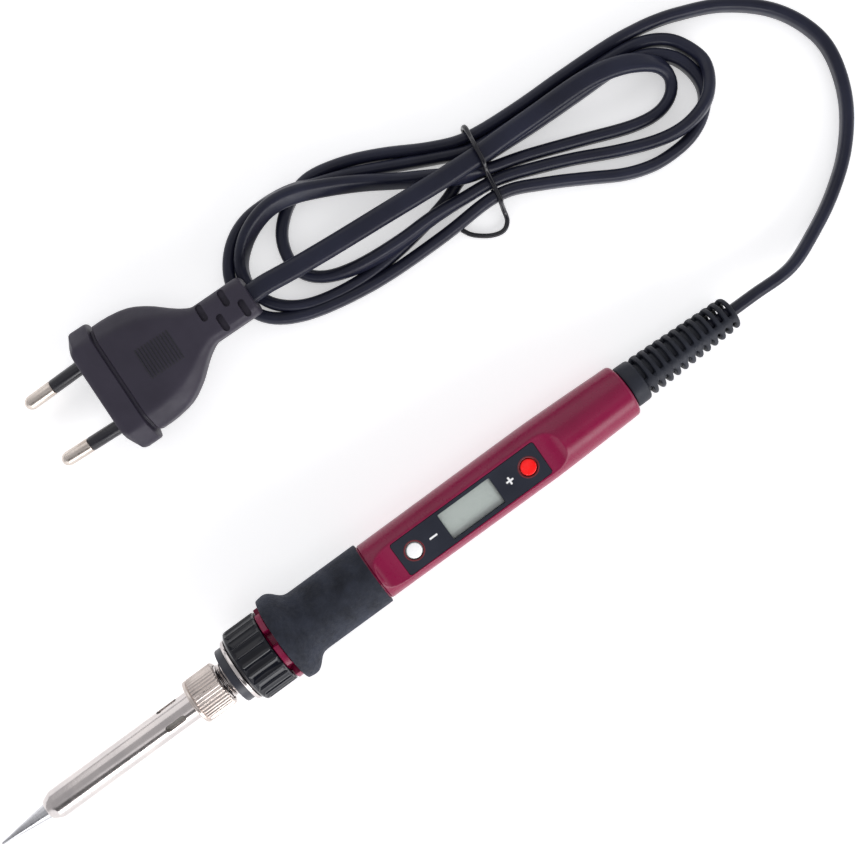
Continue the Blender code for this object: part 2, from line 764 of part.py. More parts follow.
def clamp_ring(iron, steel):
    """Bright ring that rides in front of the collar."""
    bore = RING_BORE
    rear = RING_FRONT + RING_LENGTH
    profile = (
        (RING_FRONT, bore),
        (RING_FRONT, RING_RADIUS - 0.3 * MM),
        (RING_FRONT + 0.3 * MM, RING_RADIUS),
        (rear, RING_RADIUS),
        (rear, bore),
    )
    return turned("clamp_ring", profile, steel, FINE_SEGMENTS, iron, None, True)


def front_collar(iron):
    """Glossy fluted collar, screwed on the nose of the handle."""
    rear = COLLAR_REAR
    sides = 3 * FLUTES
    hole = RING_BORE
    bore = COLLAR_BORE
    shoulder = COLLAR_FRONT + COLLAR_SHOULDER
    root = COLLAR_RADIUS - FLUTE_DEPTH
    pattern = (1, 1, 0)
    rings = [
        circle(COLLAR_FRONT, hole, sides),
        circle(COLLAR_FRONT, COLLAR_RADIUS - 0.9 * MM, sides),
        circle(COLLAR_FRONT + 0.3 * MM, COLLAR_RADIUS - 0.3 * MM, sides),
        circle(COLLAR_FRONT + 0.9 * MM, COLLAR_RADIUS, sides),
        circle(COLLAR_FRONT + COLLAR_RIM, COLLAR_RADIUS, sides),
        toothed_ring(COLLAR_FRONT + COLLAR_RIM + 0.4 * MM, COLLAR_RADIUS, root, FLUTES, pattern),
        toothed_ring(rear - 0.4 * MM, COLLAR_RADIUS, root, FLUTES, pattern),
        circle(rear, COLLAR_RADIUS - 0.5 * MM, sides),
        circle(rear, bore, sides),
        circle(shoulder, bore, sides),
        circle(shoulder, hole, sides),
    ]
    return finish_object("front_collar", skin_mesh("front_collar", rings, True), black_gloss(), iron)


# Handle

def handle_outline():
    """(x, radius) of the handle's coloured length, back to the cord."""
    front = HANDLE_RADIUS - HANDLE_FRONT_FALL
    return (
        (HANDLE_FRONT, front - 0.15 * MM),
        (HANDLE_FRONT + 0.4 * MM, front),
        (PANEL_MIDDLE, HANDLE_RADIUS - 0.05 * MM),
        (PANEL_FRONT + PANEL_LENGTH, HANDLE_RADIUS),
        (HANDLE_END - 12 * MM, HANDLE_RADIUS - 0.4 * HANDLE_TAIL_FALL),
        (HANDLE_END - 1.8 * MM, HANDLE_TAIL_RADIUS),
        (HANDLE_END - 0.9 * MM, HANDLE_TAIL_RADIUS - 0.35 * MM),
        (HANDLE_END - 0.3 * MM, HANDLE_TAIL_RADIUS - 0.8 * MM),
        (HANDLE_END, HANDLE_TAIL_RADIUS - 1.4 * MM),
    )


def flattened(ring, height):
    """Ring with everything above a height brought down to it."""
    return [Vector((point.x, point.y, min(point.z, height))) for point in ring]


def facet_cutter():
    """Tool for the flat that carries the display, with a curved run-out at each end."""
    side = HANDLE_RADIUS + 1.0 * MM
    top = HANDLE_RADIUS + 1.5 * MM
    run = (
        (FACET_START - 1.3 * MM, top),
        (FACET_START, HANDLE_RADIUS - 0.5 * MM),
        (FACET_START + 2.0 * MM, FACET_HEIGHT + 0.75 * MM),
        (FACET_START + 5.0 * MM, FACET_HEIGHT + 0.15 * MM),
        (PANEL_FRONT - CLEARANCE, FACET_HEIGHT),
        (FACET_END - 4.2 * MM, FACET_HEIGHT),
        (FACET_END - 2.0 * MM, FACET_HEIGHT + 0.4 * MM),
        (FACET_END, FACET_HEIGHT + 1.4 * MM),
        (FACET_END + 1.4 * MM, top),
    )
    outline = [Vector((x, -side, z)) for x, z in run]
    return prism_mesh("facet_cutter", outline, Vector((0, 2 * side, 0)))


def panel_underside():
    return FACET_HEIGHT - PANEL_THICKNESS


def handle_shell(iron, burgundy):
    """One moulding from the threaded nose to the tail, with the display's window."""
    outer = [
        circle(NOSE_FRONT, NOSE_RADIUS - 0.4 * MM, FINE_SEGMENTS),
        circle(NOSE_FRONT + 0.4 * MM, NOSE_RADIUS, FINE_SEGMENTS),
        circle(LUG_FRONT, NOSE_RADIUS, FINE_SEGMENTS),
        circle(LUG_FRONT, LUG_RADIUS - 0.2 * MM, FINE_SEGMENTS),
        circle(LUG_FRONT + 0.2 * MM, LUG_RADIUS, FINE_SEGMENTS),
        circle(LUG_FRONT + LUG_LENGTH, LUG_RADIUS, FINE_SEGMENTS),
        circle(LUG_FRONT + LUG_LENGTH, STEM_RADIUS, FINE_SEGMENTS),
        circle(HANDLE_FRONT, STEM_RADIUS, FINE_SEGMENTS),
    ]
    outer += [circle(x, radius, FINE_SEGMENTS) for x, radius in handle_outline()]
    flat_start = BOARD_FRONT - 2.0 * MM
    flat_end = FACET_END + 3.0 * MM
    wall_front = HANDLE_END - TAIL_WALL_LENGTH
    inner = [
        circle(HANDLE_END, TAIL_BORE, FINE_SEGMENTS),
        circle(wall_front, TAIL_BORE, FINE_SEGMENTS),
        circle(wall_front, TAIL_CHAMBER, FINE_SEGMENTS),
        circle(wall_front - 6.0 * MM, HANDLE_BORE, FINE_SEGMENTS),
        circle(flat_end + 1.0 * MM, HANDLE_BORE, FINE_SEGMENTS),
        flattened(circle(flat_end, HANDLE_BORE, FINE_SEGMENTS), INNER_FLAT),
        flattened(circle(flat_start, HANDLE_BORE, FINE_SEGMENTS), INNER_FLAT),
        circle(flat_start - 1.0 * MM, STEM_BORE, FINE_SEGMENTS),
        circle(LUG_FRONT + CLEARANCE, STEM_BORE, FINE_SEGMENTS),
        circle(LUG_FRONT, NOSE_BORE, FINE_SEGMENTS),
        circle(NOSE_FRONT, NOSE_BORE, FINE_SEGMENTS),
    ]
    mesh = skin_mesh("handle_shell", outer + inner, True)
    shell = finish_object("handle_shell", mesh, burgundy, iron)
    gap = CLEARANCE
    reach = LUG_RADIUS + 1.0 * MM
    for index in range(LUG_COUNT):
        low = (LUG_FRONT - 0.5 * MM, -LUG_GAP / 2, NOSE_RADIUS)
        high = (GRIP_FRONT, LUG_GAP / 2, reach)
        turn = Matrix.Rotation(LUG_PHASE + 2 * math.pi * index / LUG_COUNT, 4, "X")
        carve(shell, f"lug_cutter_{index}", box_mesh("lug_cutter", low, high), iron, turn)
    carve(shell, "facet_cutter", facet_cutter(), iron)
    pocket = rounded_rectangle(PANEL_FRONT - gap, PANEL_FRONT + PANEL_LENGTH + gap,
                               PANEL_WIDTH / 2 + gap, PANEL_CORNER, panel_underside() - gap)
    carve(shell, "pocket_cutter", prism_mesh("pocket_cutter", pocket, Vector((0, 0, 4 * MM))), iron)
    window_low = MINUS_CENTRE - MINUS_RADIUS - BUTTON_FLANGE - 2 * gap
    window_high = PLUS_CENTRE + PLUS_RADIUS + BUTTON_FLANGE + 2 * gap
    window = rounded_rectangle(window_low, window_high, MODULE_WIDTH / 2 + gap, PANEL_CORNER, 0.0)
    carve(shell, "window_cutter", prism_mesh("window_cutter", window, Vector((0, 0, 8 * MM))), iron)
    return shell


def grip_sleeve(iron):
    bore = STEM_RADIUS + CLEARANCE
    rear = HANDLE_FRONT - CLEARANCE
    flare_end = GRIP_FRONT + FLARE_LENGTH
    fall = FLARE_RADIUS - GRIP_RADIUS
    shares = ((0.0, 1.0), (0.16, 0.93), (0.38, 0.68), (0.60, 0.34), (0.80, 0.12), (1.0, 0.0))
    profile = [
        (GRIP_FRONT, bore),
        (GRIP_FRONT, FLARE_RADIUS - 2 * FLARE_CHAMFER),
        (GRIP_FRONT + 0.4 * FLARE_CHAMFER, FLARE_RADIUS - 0.4 * FLARE_CHAMFER),
        (GRIP_FRONT + FLARE_CHAMFER, FLARE_RADIUS),
    ]
    profile += [(flare_end + FLARE_FALL * along, GRIP_RADIUS + fall * rise) for along, rise in shares]
    profile += [(rear - 0.3 * MM, GRIP_RADIUS), (rear, GRIP_RADIUS - 0.25 * MM), (rear, bore)]
    return turned("grip_sleeve", profile, foam_rubber(), FINE_SEGMENTS, iron, None, True)


# Display

def button_hole(radius):
    return radius + CLEARANCE


def display_panel(iron):
    outline = rounded_rectangle(PANEL_FRONT, PANEL_FRONT + PANEL_LENGTH, PANEL_WIDTH / 2,
                                PANEL_CORNER, panel_underside())
    mesh = prism_mesh("display_panel", outline, Vector((0, 0, PANEL_THICKNESS)))
    panel = finish_object("display_panel", mesh, panel_plastic(), iron)
    low = panel_underside() - 1.0 * MM
    rise = Vector((0, 0, 3.0 * MM))
    for name, centre, radius in (("minus", MINUS_CENTRE, MINUS_RADIUS), ("plus", PLUS_CENTRE, PLUS_RADIUS)):
        hole = [Vector((centre, 0, low)) + Vector((p.z, p.y, 0)) for p in circle(0, button_hole(radius), 20)]
        carve(panel, f"{name}_hole_cutter", prism_mesh("hole_cutter", hole, rise), iron)
    opening = rounded_rectangle(PANEL_MIDDLE - LCD_LENGTH / 2, PANEL_MIDDLE + LCD_LENGTH / 2,
                                LCD_WIDTH / 2, 0.3 * MM, low, 1)
    carve(panel, "lcd_opening_cutter", prism_mesh("lcd_opening_cutter", opening, rise), iron)
    return panel


def lcd_cover(iron):
    """Clear window in the panel, a little below its face."""
    top = FACET_HEIGHT - LCD_RECESS
    long_half = LCD_LENGTH / 2 - CLEARANCE
    half = LCD_WIDTH / 2 - CLEARANCE
    low = (PANEL_MIDDLE - long_half, -half, top - LCD_COVER_THICKNESS)
    high = (PANEL_MIDDLE + long_half, half, top)
    return box("lcd_cover", low, high, clear_plastic(), iron)


def lcd_module(iron):
    low = (PANEL_MIDDLE - MODULE_LENGTH / 2, -MODULE_WIDTH / 2, MODULE_TOP - MODULE_THICKNESS)
    high = (PANEL_MIDDLE + MODULE_LENGTH / 2, MODULE_WIDTH / 2, MODULE_TOP)
    return box("lcd_module", low, high, lcd_glass(), iron)


def contact_strips(iron):
    """Two elastomer strips that join the display to the board."""
    bottom = BOARD_TOP + CLEARANCE
    top = bottom + STRIP_HEIGHT
    for name, side in (("contact_strip_left", -1), ("contact_strip_right", 1)):
        middle = side * (MODULE_WIDTH / 2 - STRIP_WIDTH)
        low = (PANEL_MIDDLE - STRIP_LENGTH / 2, middle - STRIP_WIDTH / 2, bottom)
        high = (PANEL_MIDDLE + STRIP_LENGTH / 2, middle + STRIP_WIDTH / 2, top)
        box(name, low, high, make_material(name, (0.10, 0.10, 0.12), 0.6), iron)


def button_bottom():
    return panel_underside() - CLEARANCE - BUTTON_FLANGE_THICKNESS


def push_button(name, centre, radius, material, iron):
    """Cap with a flange under the panel; its axis is the way it is pressed."""
    bottom = button_bottom()
    height = FACET_HEIGHT + BUTTON_PROUD - bottom
    profile = (
        (0.0, radius + BUTTON_FLANGE),
        (BUTTON_FLANGE_THICKNESS, radius + BUTTON_FLANGE),
        (BUTTON_FLANGE_THICKNESS, radius),
        (height - BUTTON_EDGE, radius),
        (height - BUTTON_EDGE / 3, radius - BUTTON_EDGE * 0.6),
        (height, radius - 2 * BUTTON_EDGE),
    )
    return turned(name, profile, material, 24, iron, along_z(centre, bottom))


def tact_switch(name, centre, iron):
    """Switch body with a stud that the button presses."""
    bottom = BOARD_TOP + CLEARANCE
    top = button_bottom() - BUTTON_TRAVEL - CLEARANCE - SWITCH_STUD_HEIGHT
    half = SWITCH_WIDTH / 2
    stud = SWITCH_STUD / 2
    corners = ((-1, -1), (1, -1), (1, 1), (-1, 1))
    levels = ((bottom, half), (top, half), (top, stud), (top + SWITCH_STUD_HEIGHT, stud))
    rings = [[Vector((centre + x * size, y * size, z)) for x, y in corners] for z, size in levels]
    return finish_object(name, skin_mesh(name, rings), part_epoxy(), iron)


# Electronics

def circuit_board(iron):
    low = (BOARD_FRONT, -BOARD_WIDTH / 2, BOARD_BOTTOM)
    high = (BOARD_REAR, BOARD_WIDTH / 2, BOARD_TOP)
    return box("circuit_board", low, high, board_laminate(), iron)


def board_place(share):
    return BOARD_FRONT + share * (BOARD_REAR - BOARD_FRONT)


def board_block(name, centre, size, iron):
    """Block part on the underside of the board."""
    top = BOARD_BOTTOM - CLEARANCE
    low = (centre - size[0] / 2, -size[1] / 2, top - size[2])
    high = (centre + size[0] / 2, size[1] / 2, top)
    return box(name, low, high, part_epoxy(), iron)


def board_can(name, centre, radius, length, material, iron):
    """Round part lying along the underside of the board."""
    rim = 0.3 * MM
    profile = (
        (-length / 2, radius - rim),
        (rim - length / 2, radius),
        (length / 2 - rim, radius),
        (length / 2, radius - rim),
    )
    place = Matrix.Translation((centre, 0, BOARD_BOTTOM - CLEARANCE - radius))
    return turned(name, profile, material, 16, iron, place)


def heater_wires(iron):
    """Two heater wires and two sensor wires, from the ceramic to the board."""
    start = HEATER_REAR + CLEARANCE
    over = BOARD_TOP + CLEARANCE + WIRE_RADIUS
    under = BOARD_BOTTOM - CLEARANCE - WIRE_RADIUS
    ends = (
        ("heater_wire_live", 1, 1, over),
        ("heater_wire_return", -1, 1, over),
        ("sensor_wire_a", 1, -1, under),
        ("sensor_wire_b", -1, -1, under),
    )
    for name, side, level, board_z in ends:
        root = 0.8 * MM
        pad = 3.2 * MM
        middle = (start + BOARD_FRONT) / 2
        route = [
            Vector((start, side * root, level * root)),
            Vector((start + 4 * MM, side * root, level * root)),
            Vector((middle, side * (root + pad) * 0.6, level * 1.9 * MM)),
            Vector((BOARD_FRONT - 3 * MM, side * pad, board_z)),
            Vector((BOARD_FRONT + 2 * MM, side * pad, board_z)),
        ]
        tube(name, smooth_curve(route, 4 * MM), WIRE_RADIUS, wire_jacket(), iron, 1)


def mains_wires(iron):
    start = CORD_END_FRONT - CLEARANCE
    over = BOARD_TOP + CLEARANCE + MAINS_WIRE_RADIUS
    for name, side in (("mains_wire_live", 1), ("mains_wire_neutral", -1)):
        route = [
            Vector((start, side * 1.3 * MM, 0.0)),
            Vector((start - 1.5 * MM, side * 1.3 * MM, 0.0)),
            Vector((BOARD_REAR + 1.0 * MM, side * 2.2 * MM, over)),
            Vector((BOARD_REAR - 2.5 * MM, side * 2.6 * MM, over)),
        ]
        tube(name, smooth_curve(route, 1.5 * MM), MAINS_WIRE_RADIUS, wire_jacket(), iron, 1)


def flat_section(x, width, thickness, sides=16):
    """Ring with straight top and bottom and round sides, around the X axis."""
    radius = thickness / 2
    half = width / 2 - radius
    ring = []
    for index in range(sides):
        angle = 2 * math.pi * (index + 0.5) / sides
        shift = half if math.cos(angle) > 0 else -half
        ring.append(Vector((x, shift + radius * math.cos(angle), radius * math.sin(angle))))
    return ring


def cord_end(iron, vinyl):
    """Jacketed end of the cord inside the handle."""
    ends = (CORD_END_FRONT, BOOT_FRONT - CLEARANCE)
    rings = [flat_section(x, CORD_WIDTH, CORD_THICKNESS) for x in ends]
    return finish_object("cord_end", skin_mesh("cord_end", rings), vinyl, iron)


def cord_tie(iron):
    """Nylon tie around the cord's end, which keeps it from pulling out."""
    front = CORD_END_FRONT + 1.2 * MM
    rear = front + CORD_TIE_LENGTH
    gap = 2 * CLEARANCE
    around = gap + 2 * CORD_TIE_WALL
    rings = [
        flat_section(front, CORD_WIDTH + gap, CORD_THICKNESS + gap),
        flat_section(front, CORD_WIDTH + around, CORD_THICKNESS + around),
        flat_section(rear, CORD_WIDTH + around, CORD_THICKNESS + around),
        flat_section(rear, CORD_WIDTH + gap, CORD_THICKNESS + gap),
    ]
    tie = finish_object("cord_tie", skin_mesh("cord_tie", rings, True), white_plastic(), iron)
    length, width, height = CORD_TIE_HEAD
    base = CORD_THICKNESS / 2 + CLEARANCE + CORD_TIE_WALL / 2
    middle = (front + rear) / 2
    low = (middle - length / 2, -width / 2, base)
    high = (middle + length / 2, width / 2, base + height)
    head = bpy.data.objects.new("tie_head", box_mesh("tie_head", low, high))
    bpy.context.scene.collection.objects.link(head)
    head.parent = iron
    head.hide_render = True
    head.display_type = "WIRE"
    join = tie.modifiers.new("tie_head", "BOOLEAN")
    join.operation = "UNION"
    join.solver = "EXACT"
    join.object = head
    return tie


def boot_ring(x, crest, root, segments=24):
    """Ring of the boot between two ribs: full at the spines, sunk between them."""
    points = []
    for index in range(segments):
        angle = 2 * math.pi * index / segments
        phase = (angle - BOOT_SPINE_ANGLE) * BOOT_SPINES / (2 * math.pi)
        on_spine = abs(phase - round(phase)) * 2 * math.pi / BOOT_SPINES < BOOT_SPINE_HALF
        radius = crest if on_spine else root
        points.append(Vector((x, -radius * math.sin(angle), radius * math.cos(angle))))
    return points


def cord_boot(iron):
    """Ribbed rubber boot: a flange inside the handle, a collar behind it and a row of ribs."""
    front = BOOT_FRONT
    flange_rear = front + BOOT_FLANGE_LENGTH
    flange = TAIL_CHAMBER - CLEARANCE
    neck = TAIL_BORE - CLEARANCE
    collar_front = HANDLE_END + CLEARANCE
    collar_rear = collar_front + BOOT_COLLAR_LENGTH
    plain = (
        (front, flange),
        (flange_rear, flange),
        (flange_rear, neck),
        (collar_front, neck),
        (collar_front, BOOT_COLLAR_RADIUS),
        (collar_rear - 0.6 * MM, BOOT_COLLAR_RADIUS - 0.2 * MM),
        (collar_rear, BOOT_FRONT_RIB_RADIUS - 0.3 * MM),
    )
    rings = [boot_ring(x, radius, radius) for x, radius in plain]
    taper = (BOOT_REAR_RIB_RADIUS - BOOT_FRONT_RIB_RADIUS) / (BOOT_RIBS - 1)
    groove = BOOT_RIB_PITCH - BOOT_RIB_WIDTH
    for index in range(BOOT_RIBS):
        start = collar_rear + index * BOOT_RIB_PITCH
        crest = BOOT_FRONT_RIB_RADIUS + taper * index
        root = crest - BOOT_RIB_DEPTH
        rings.append(boot_ring(start + 0.25 * groove, crest, root))
        rings.append(boot_ring(start + 0.85 * groove, crest, root))
        if index < BOOT_RIBS - 1:
            rings.append(boot_ring(start + groove + 0.5 * BOOT_RIB_WIDTH, crest, crest))
    end = BOOT_END
    for back, inward in ((0.9, 0.0), (0.3, 0.4), (0.0, 1.0)):
        radius = BOOT_REAR_RIB_RADIUS - inward * BOOT_NOSE
        rings.append(boot_ring(end - back * BOOT_RIB_WIDTH, radius, radius))
    return finish_object("cord_boot", skin_mesh("cord_boot", rings), foam_rubber(), iron)


# Plug

def plug_ring(x, half_width, half_height, slope):
    """Section of the plug: a flat top and bottom, short flat sides and a slope at each corner."""
    y, z = half_width, half_height
    slope_width, slope_height = slope
    corners = (
        (y, z - slope_height),
        (y - slope_width, z),
        (slope_width - y, z),
        (-y, z - slope_height),
        (-y, slope_height - z),
        (slope_width - y, -z),
        (y - slope_width, -z),
        (y, slope_height - z),
    )
    return [Vector((x, across, up)) for across, up in corners]


def pin_place(side):
    """Place of a pin: its own X axis points out of the plug, turned a little toward the other pin."""
    turn = Matrix.Rotation(math.pi + side * PIN_TOE_IN, 4, "Z")
    return Matrix.Translation((0, side * PIN_SPACING / 2, 0)) @ turn


def plug_body(plug_axis, vinyl):
    half, tall = PLUG_WIDTH / 2, PLUG_HEIGHT / 2
    body, tail = PLUG_BODY_WIDTH / 2, PLUG_TAIL_WIDTH / 2
    body_tall = tall - PLUG_BODY_DROP
    tail_tall = PLUG_TAIL_HEIGHT / 2
    groove_half = body - PLUG_GROOVE_DEPTH
    groove_tall = body_tall - PLUG_GROOVE_DEPTH
    shoulder = PLUG_FLANGE + PLUG_GROOVE
    tail_start = PLUG_LENGTH - PLUG_TAIL_LENGTH
    narrowing = tail_start - shoulder
    fall = body - tail
    rings = [
        plug_ring(0.0, half - PLUG_NOSE_INSET, tall - PLUG_NOSE_DROP, PLUG_NOSE_SLOPE),
        plug_ring(PLUG_CHAMFER, half, tall, PLUG_FLANGE_SLOPE),
        plug_ring(PLUG_FLANGE, half, tall, PLUG_FLANGE_SLOPE),
        plug_ring(PLUG_FLANGE + PLUG_GROOVE_EDGE, groove_half, groove_tall, PLUG_BODY_SLOPE),
        plug_ring(shoulder, groove_half, groove_tall, PLUG_BODY_SLOPE),
        plug_ring(shoulder + PLUG_GROOVE_EDGE, body, body_tall, PLUG_BODY_SLOPE),
    ]
    shares = ((0.10, 1.0), (0.32, 0.94), (0.50, 0.80), (0.66, 0.56), (0.80, 0.28), (0.92, 0.08), (1.0, 0.0))
    for along, wide in shares:
        x = shoulder + narrowing * along
        width = tail + fall * wide
        height = tail_tall + (body_tall - tail_tall) * min(1.0, wide + 0.1)
        slope = [thin + (full - thin) * wide for full, thin in zip(PLUG_BODY_SLOPE, PLUG_TAIL_SLOPE)]
        rings.append(plug_ring(x, width, height, slope))
    rings += [
        plug_ring(PLUG_LENGTH - PLUG_END_ROUND, tail, tail_tall, PLUG_TAIL_SLOPE),
        plug_ring(PLUG_LENGTH, tail - PLUG_END_ROUND, tail_tall - PLUG_END_ROUND, PLUG_END_SLOPE),
    ]
    plug = finish_object("plug_body", skin_mesh("plug_body", rings), vinyl, plug_axis)
    bore = PIN_RADIUS + CLEARANCE
    for name, side in (("left", -1), ("right", 1)):
        profile = [circle(x, bore, 16) for x in (-PIN_ROOT - CLEARANCE, 3 * MM)]
        carve(plug, f"pin_cutter_{name}", skin_mesh("pin_cutter", profile), plug_axis, pin_place(side))
    slots = ((0.10, 1), (0.33, -1), (0.58, 1), (0.80, -1))
    for level in (-1, 1):
        for index, (along, side) in enumerate(slots):
            x = tail_start + PLUG_TAIL_LENGTH * along
            y = side * TAIL_SLOT_OFFSET
            floor, over = sorted((level * (tail_tall - TAIL_SLOT_DEPTH), level * (tail_tall + 1 * MM)))
            low = (x - TAIL_SLOT_WIDTH / 2, y - TAIL_SLOT_LENGTH / 2, floor)
            high = (x + TAIL_SLOT_WIDTH / 2, y + TAIL_SLOT_LENGTH / 2, over)
            carve(plug, f"tail_slot_{level}_{index}", box_mesh("tail_slot", low, high), plug_axis)
    return plug


def plug_pins(plug_axis):
    """Two bare pins, each in an insulating sleeve where it leaves the plug."""
    core = PIN_RADIUS - PIN_SLEEVE_WALL - CLEARANCE
    step = PIN_SLEEVE_LENGTH + CLEARANCE
    for name, side in (("left", -1), ("right", 1)):
        pin = (
            (-PIN_ROOT, core),
            (step, core),
            (step, PIN_RADIUS - 0.1 * MM),
            (step + 0.2 * MM, PIN_RADIUS),
            (PIN_LENGTH - 1.3 * MM, PIN_RADIUS),
            (PIN_LENGTH - 0.5 * MM, PIN_RADIUS - 0.5 * MM),
            (PIN_LENGTH, PIN_RADIUS - 1.1 * MM),
        )
        turned(f"plug_pin_{name}", pin, nickel_plate(), 16, plug_axis, pin_place(side))
        sleeve = (
            (-PIN_ROOT, core + CLEARANCE),
            (-PIN_ROOT, PIN_RADIUS),
            (PIN_SLEEVE_LENGTH, PIN_RADIUS),
            (PIN_SLEEVE_LENGTH, core + CLEARANCE),
        )
        turned(f"pin_sleeve_{name}", sleeve, panel_plastic(), 16, plug_axis, pin_place(side), True)


# Cord

def plug_lead(plug_axis, vinyl):
    start = PLUG_LENGTH + CLEARANCE
    end = start + PLUG_LEAD_LENGTH
    points = [Vector((x, 0, 0)) for x in (start, (start + end) / 2, end)]
    return tube("plug_lead", points, CORD_RADIUS, vinyl, plug_axis)


def cord_hank(plug_axis, vinyl):
    """The tied bundle of turns as one body, with a notch for the plug's tail and a groove for the tie."""
    first, *middle, last = [Vector((x * MM, y * MM, 0)) for x, y in HANK_OUTLINE]
    outline = smooth_curve([first, *middle, last], HANK_POINT_SPACING)
    mesh = prism_mesh("cord_hank", outline, Vector((0, 0, HANK_HEIGHT)))
    hank = finish_object("cord_hank", mesh, vinyl)
    half = PLUG_TAIL_WIDTH / 2 + CLEARANCE
    floor = -PLUG_TAIL_HEIGHT / 2 - CLEARANCE
    low = (PLUG_LENGTH - TAIL_NOTCH_REACH, -half, floor)
    high = (PLUG_LENGTH + PLUG_LEAD_LENGTH + 2 * CLEARANCE, half, HANK_HEIGHT)
    carve(hank, "tail_notch_cutter", box_mesh("tail_notch_cutter", low, high), plug_axis)
    low = (-TIE_GROOVE_WIDTH / 2, -HANK_HEIGHT, -1 * MM)
    high = (TIE_GROOVE_WIDTH / 2, HANK_HEIGHT, TIE_GROOVE_HEIGHT)
    place = Matrix.Translation((*TIE_CENTRE, 0)) @ Matrix.Rotation(TIE_SLANT, 4, "Z")
    carve(hank, "tie_groove_cutter", box_mesh("tie_groove_cutter", low, high), None, place)
    return hank


def cord_lead(iron, vinyl):
    """Loose length of the cord, from the boot round to the hank."""
    exit_point = iron.matrix_world @ Vector((BOOT_END + CLEARANCE, 0, 0))
    ahead = iron.matrix_world @ Vector((BOOT_END + CLEARANCE + LEAD_STRAIGHT, 0, 0))
    route = [exit_point, ahead] + millimetres(LEAD_ROUTE)
    return tube("cord_lead", smooth_curve(route, CORD_POINT_SPACING), CORD_RADIUS, vinyl)


def twist_tie(vinyl):
    points = smooth_curve(millimetres(TIE_ROUTE), TIE_POINT_SPACING)
    return tube("twist_tie", points, TIE_RADIUS, vinyl, None, 1)


# Placing

def lowest_and_span(pieces):
    """Lowest height and the ends along X of some pieces, as they stand in the world."""
    graph = bpy.context.evaluated_depsgraph_get()
    spots = []
    for piece in pieces:
        shown = piece.evaluated_get(graph)
        mesh = shown.to_mesh()
        spots += [piece.matrix_world @ vertex.co for vertex in mesh.vertices]
        shown.to_mesh_clear()
    return min(p.z for p in spots), min(p.x for p in spots), max(p.x for p in spots)


def rest_on_floor(iron):
    """Lean the iron on its flare and tail, centred over the origin, with the display rolled to one side."""
    flare_x = GRIP_FRONT + FLARE_LENGTH
    lean = min(math.atan2(FLARE_RADIUS - radius, x - flare_x) for x, radius in handle_outline()[3:])
    iron.rotation_euler = (DISPLAY_ROLL, lean, 0)
    bpy.context.view_layer.update()
    low, start, end = lowest_and_span([piece for piece in iron.children if not piece.hide_render])
    iron.location = (-(start + end) / 2, 0, -low)
    bpy.context.view_layer.update()


def rest_plug(plug_axis, plug):
    """Stand the plug on the lower edge of its flange, nose down."""
    plug_axis.rotation_euler = (0, -PLUG_LIFT, PLUG_TURN)
    plug_axis.location = (PLUG_FACE_X, PLUG_FACE_Y, 0)
    bpy.context.view_layer.update()
    low = lowest_and_span([plug])[0]
    plug_axis.location.z = -low
    bpy.context.view_layer.update()


def build():
    clear_scene()
    steel = bright_steel()
    vinyl = cord_vinyl()

    iron = empty("iron_axis")
    soldering_tip(iron)
    tip_sleeve(iron, steel)
    sleeve_nut(iron)
    threaded_barrel(iron, steel)
    heater_core(iron)
    heater_bush(iron)
    clamp_ring(iron, steel)
    front_collar(iron)

    handle_shell(iron, burgundy_plastic())
    grip_sleeve(iron)
    display_panel(iron)
    lcd_cover(iron)
    lcd_module(iron)
    contact_strips(iron)
    push_button("minus_button", MINUS_CENTRE, MINUS_RADIUS, white_plastic(), iron)
    push_button("plus_button", PLUS_CENTRE, PLUS_RADIUS, red_plastic(), iron)
    tact_switch("minus_switch", MINUS_CENTRE, iron)
    tact_switch("plus_switch", PLUS_CENTRE, iron)

    circuit_board(iron)
    board_block("control_chip", board_place(CHIP_PLACE), CHIP_SIZE, iron)
    board_block("triac", board_place(TRIAC_PLACE), TRIAC_SIZE, iron)
    board_can("filter_capacitor", board_place(CAPACITOR_PLACE), CAPACITOR_RADIUS, CAPACITOR_LENGTH,
              bush_plastic(), iron)
    board_can("dropper_resistor", board_place(RESISTOR_PLACE), RESISTOR_RADIUS, RESISTOR_LENGTH,
              wire_jacket(), iron)
    heater_wires(iron)
    mains_wires(iron)
    cord_end(iron, vinyl)
    cord_tie(iron)
    cord_boot(iron)
    rest_on_floor(iron)

    plug_axis = empty("plug_axis")
    plug = plug_body(plug_axis, plug_vinyl())
    plug_pins(plug_axis)
    rest_plug(plug_axis, plug)
    plug_lead(plug_axis, vinyl)
    cord_hank(plug_axis, vinyl)
    cord_lead(iron, vinyl)
    twist_tie(vinyl)


build()
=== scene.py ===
"""Looks of a hand-held soldering iron with a display, its tied flat cord and its two-pin plug."""
import json
import math

import bmesh
import bpy
from mathutils import Matrix, Vector

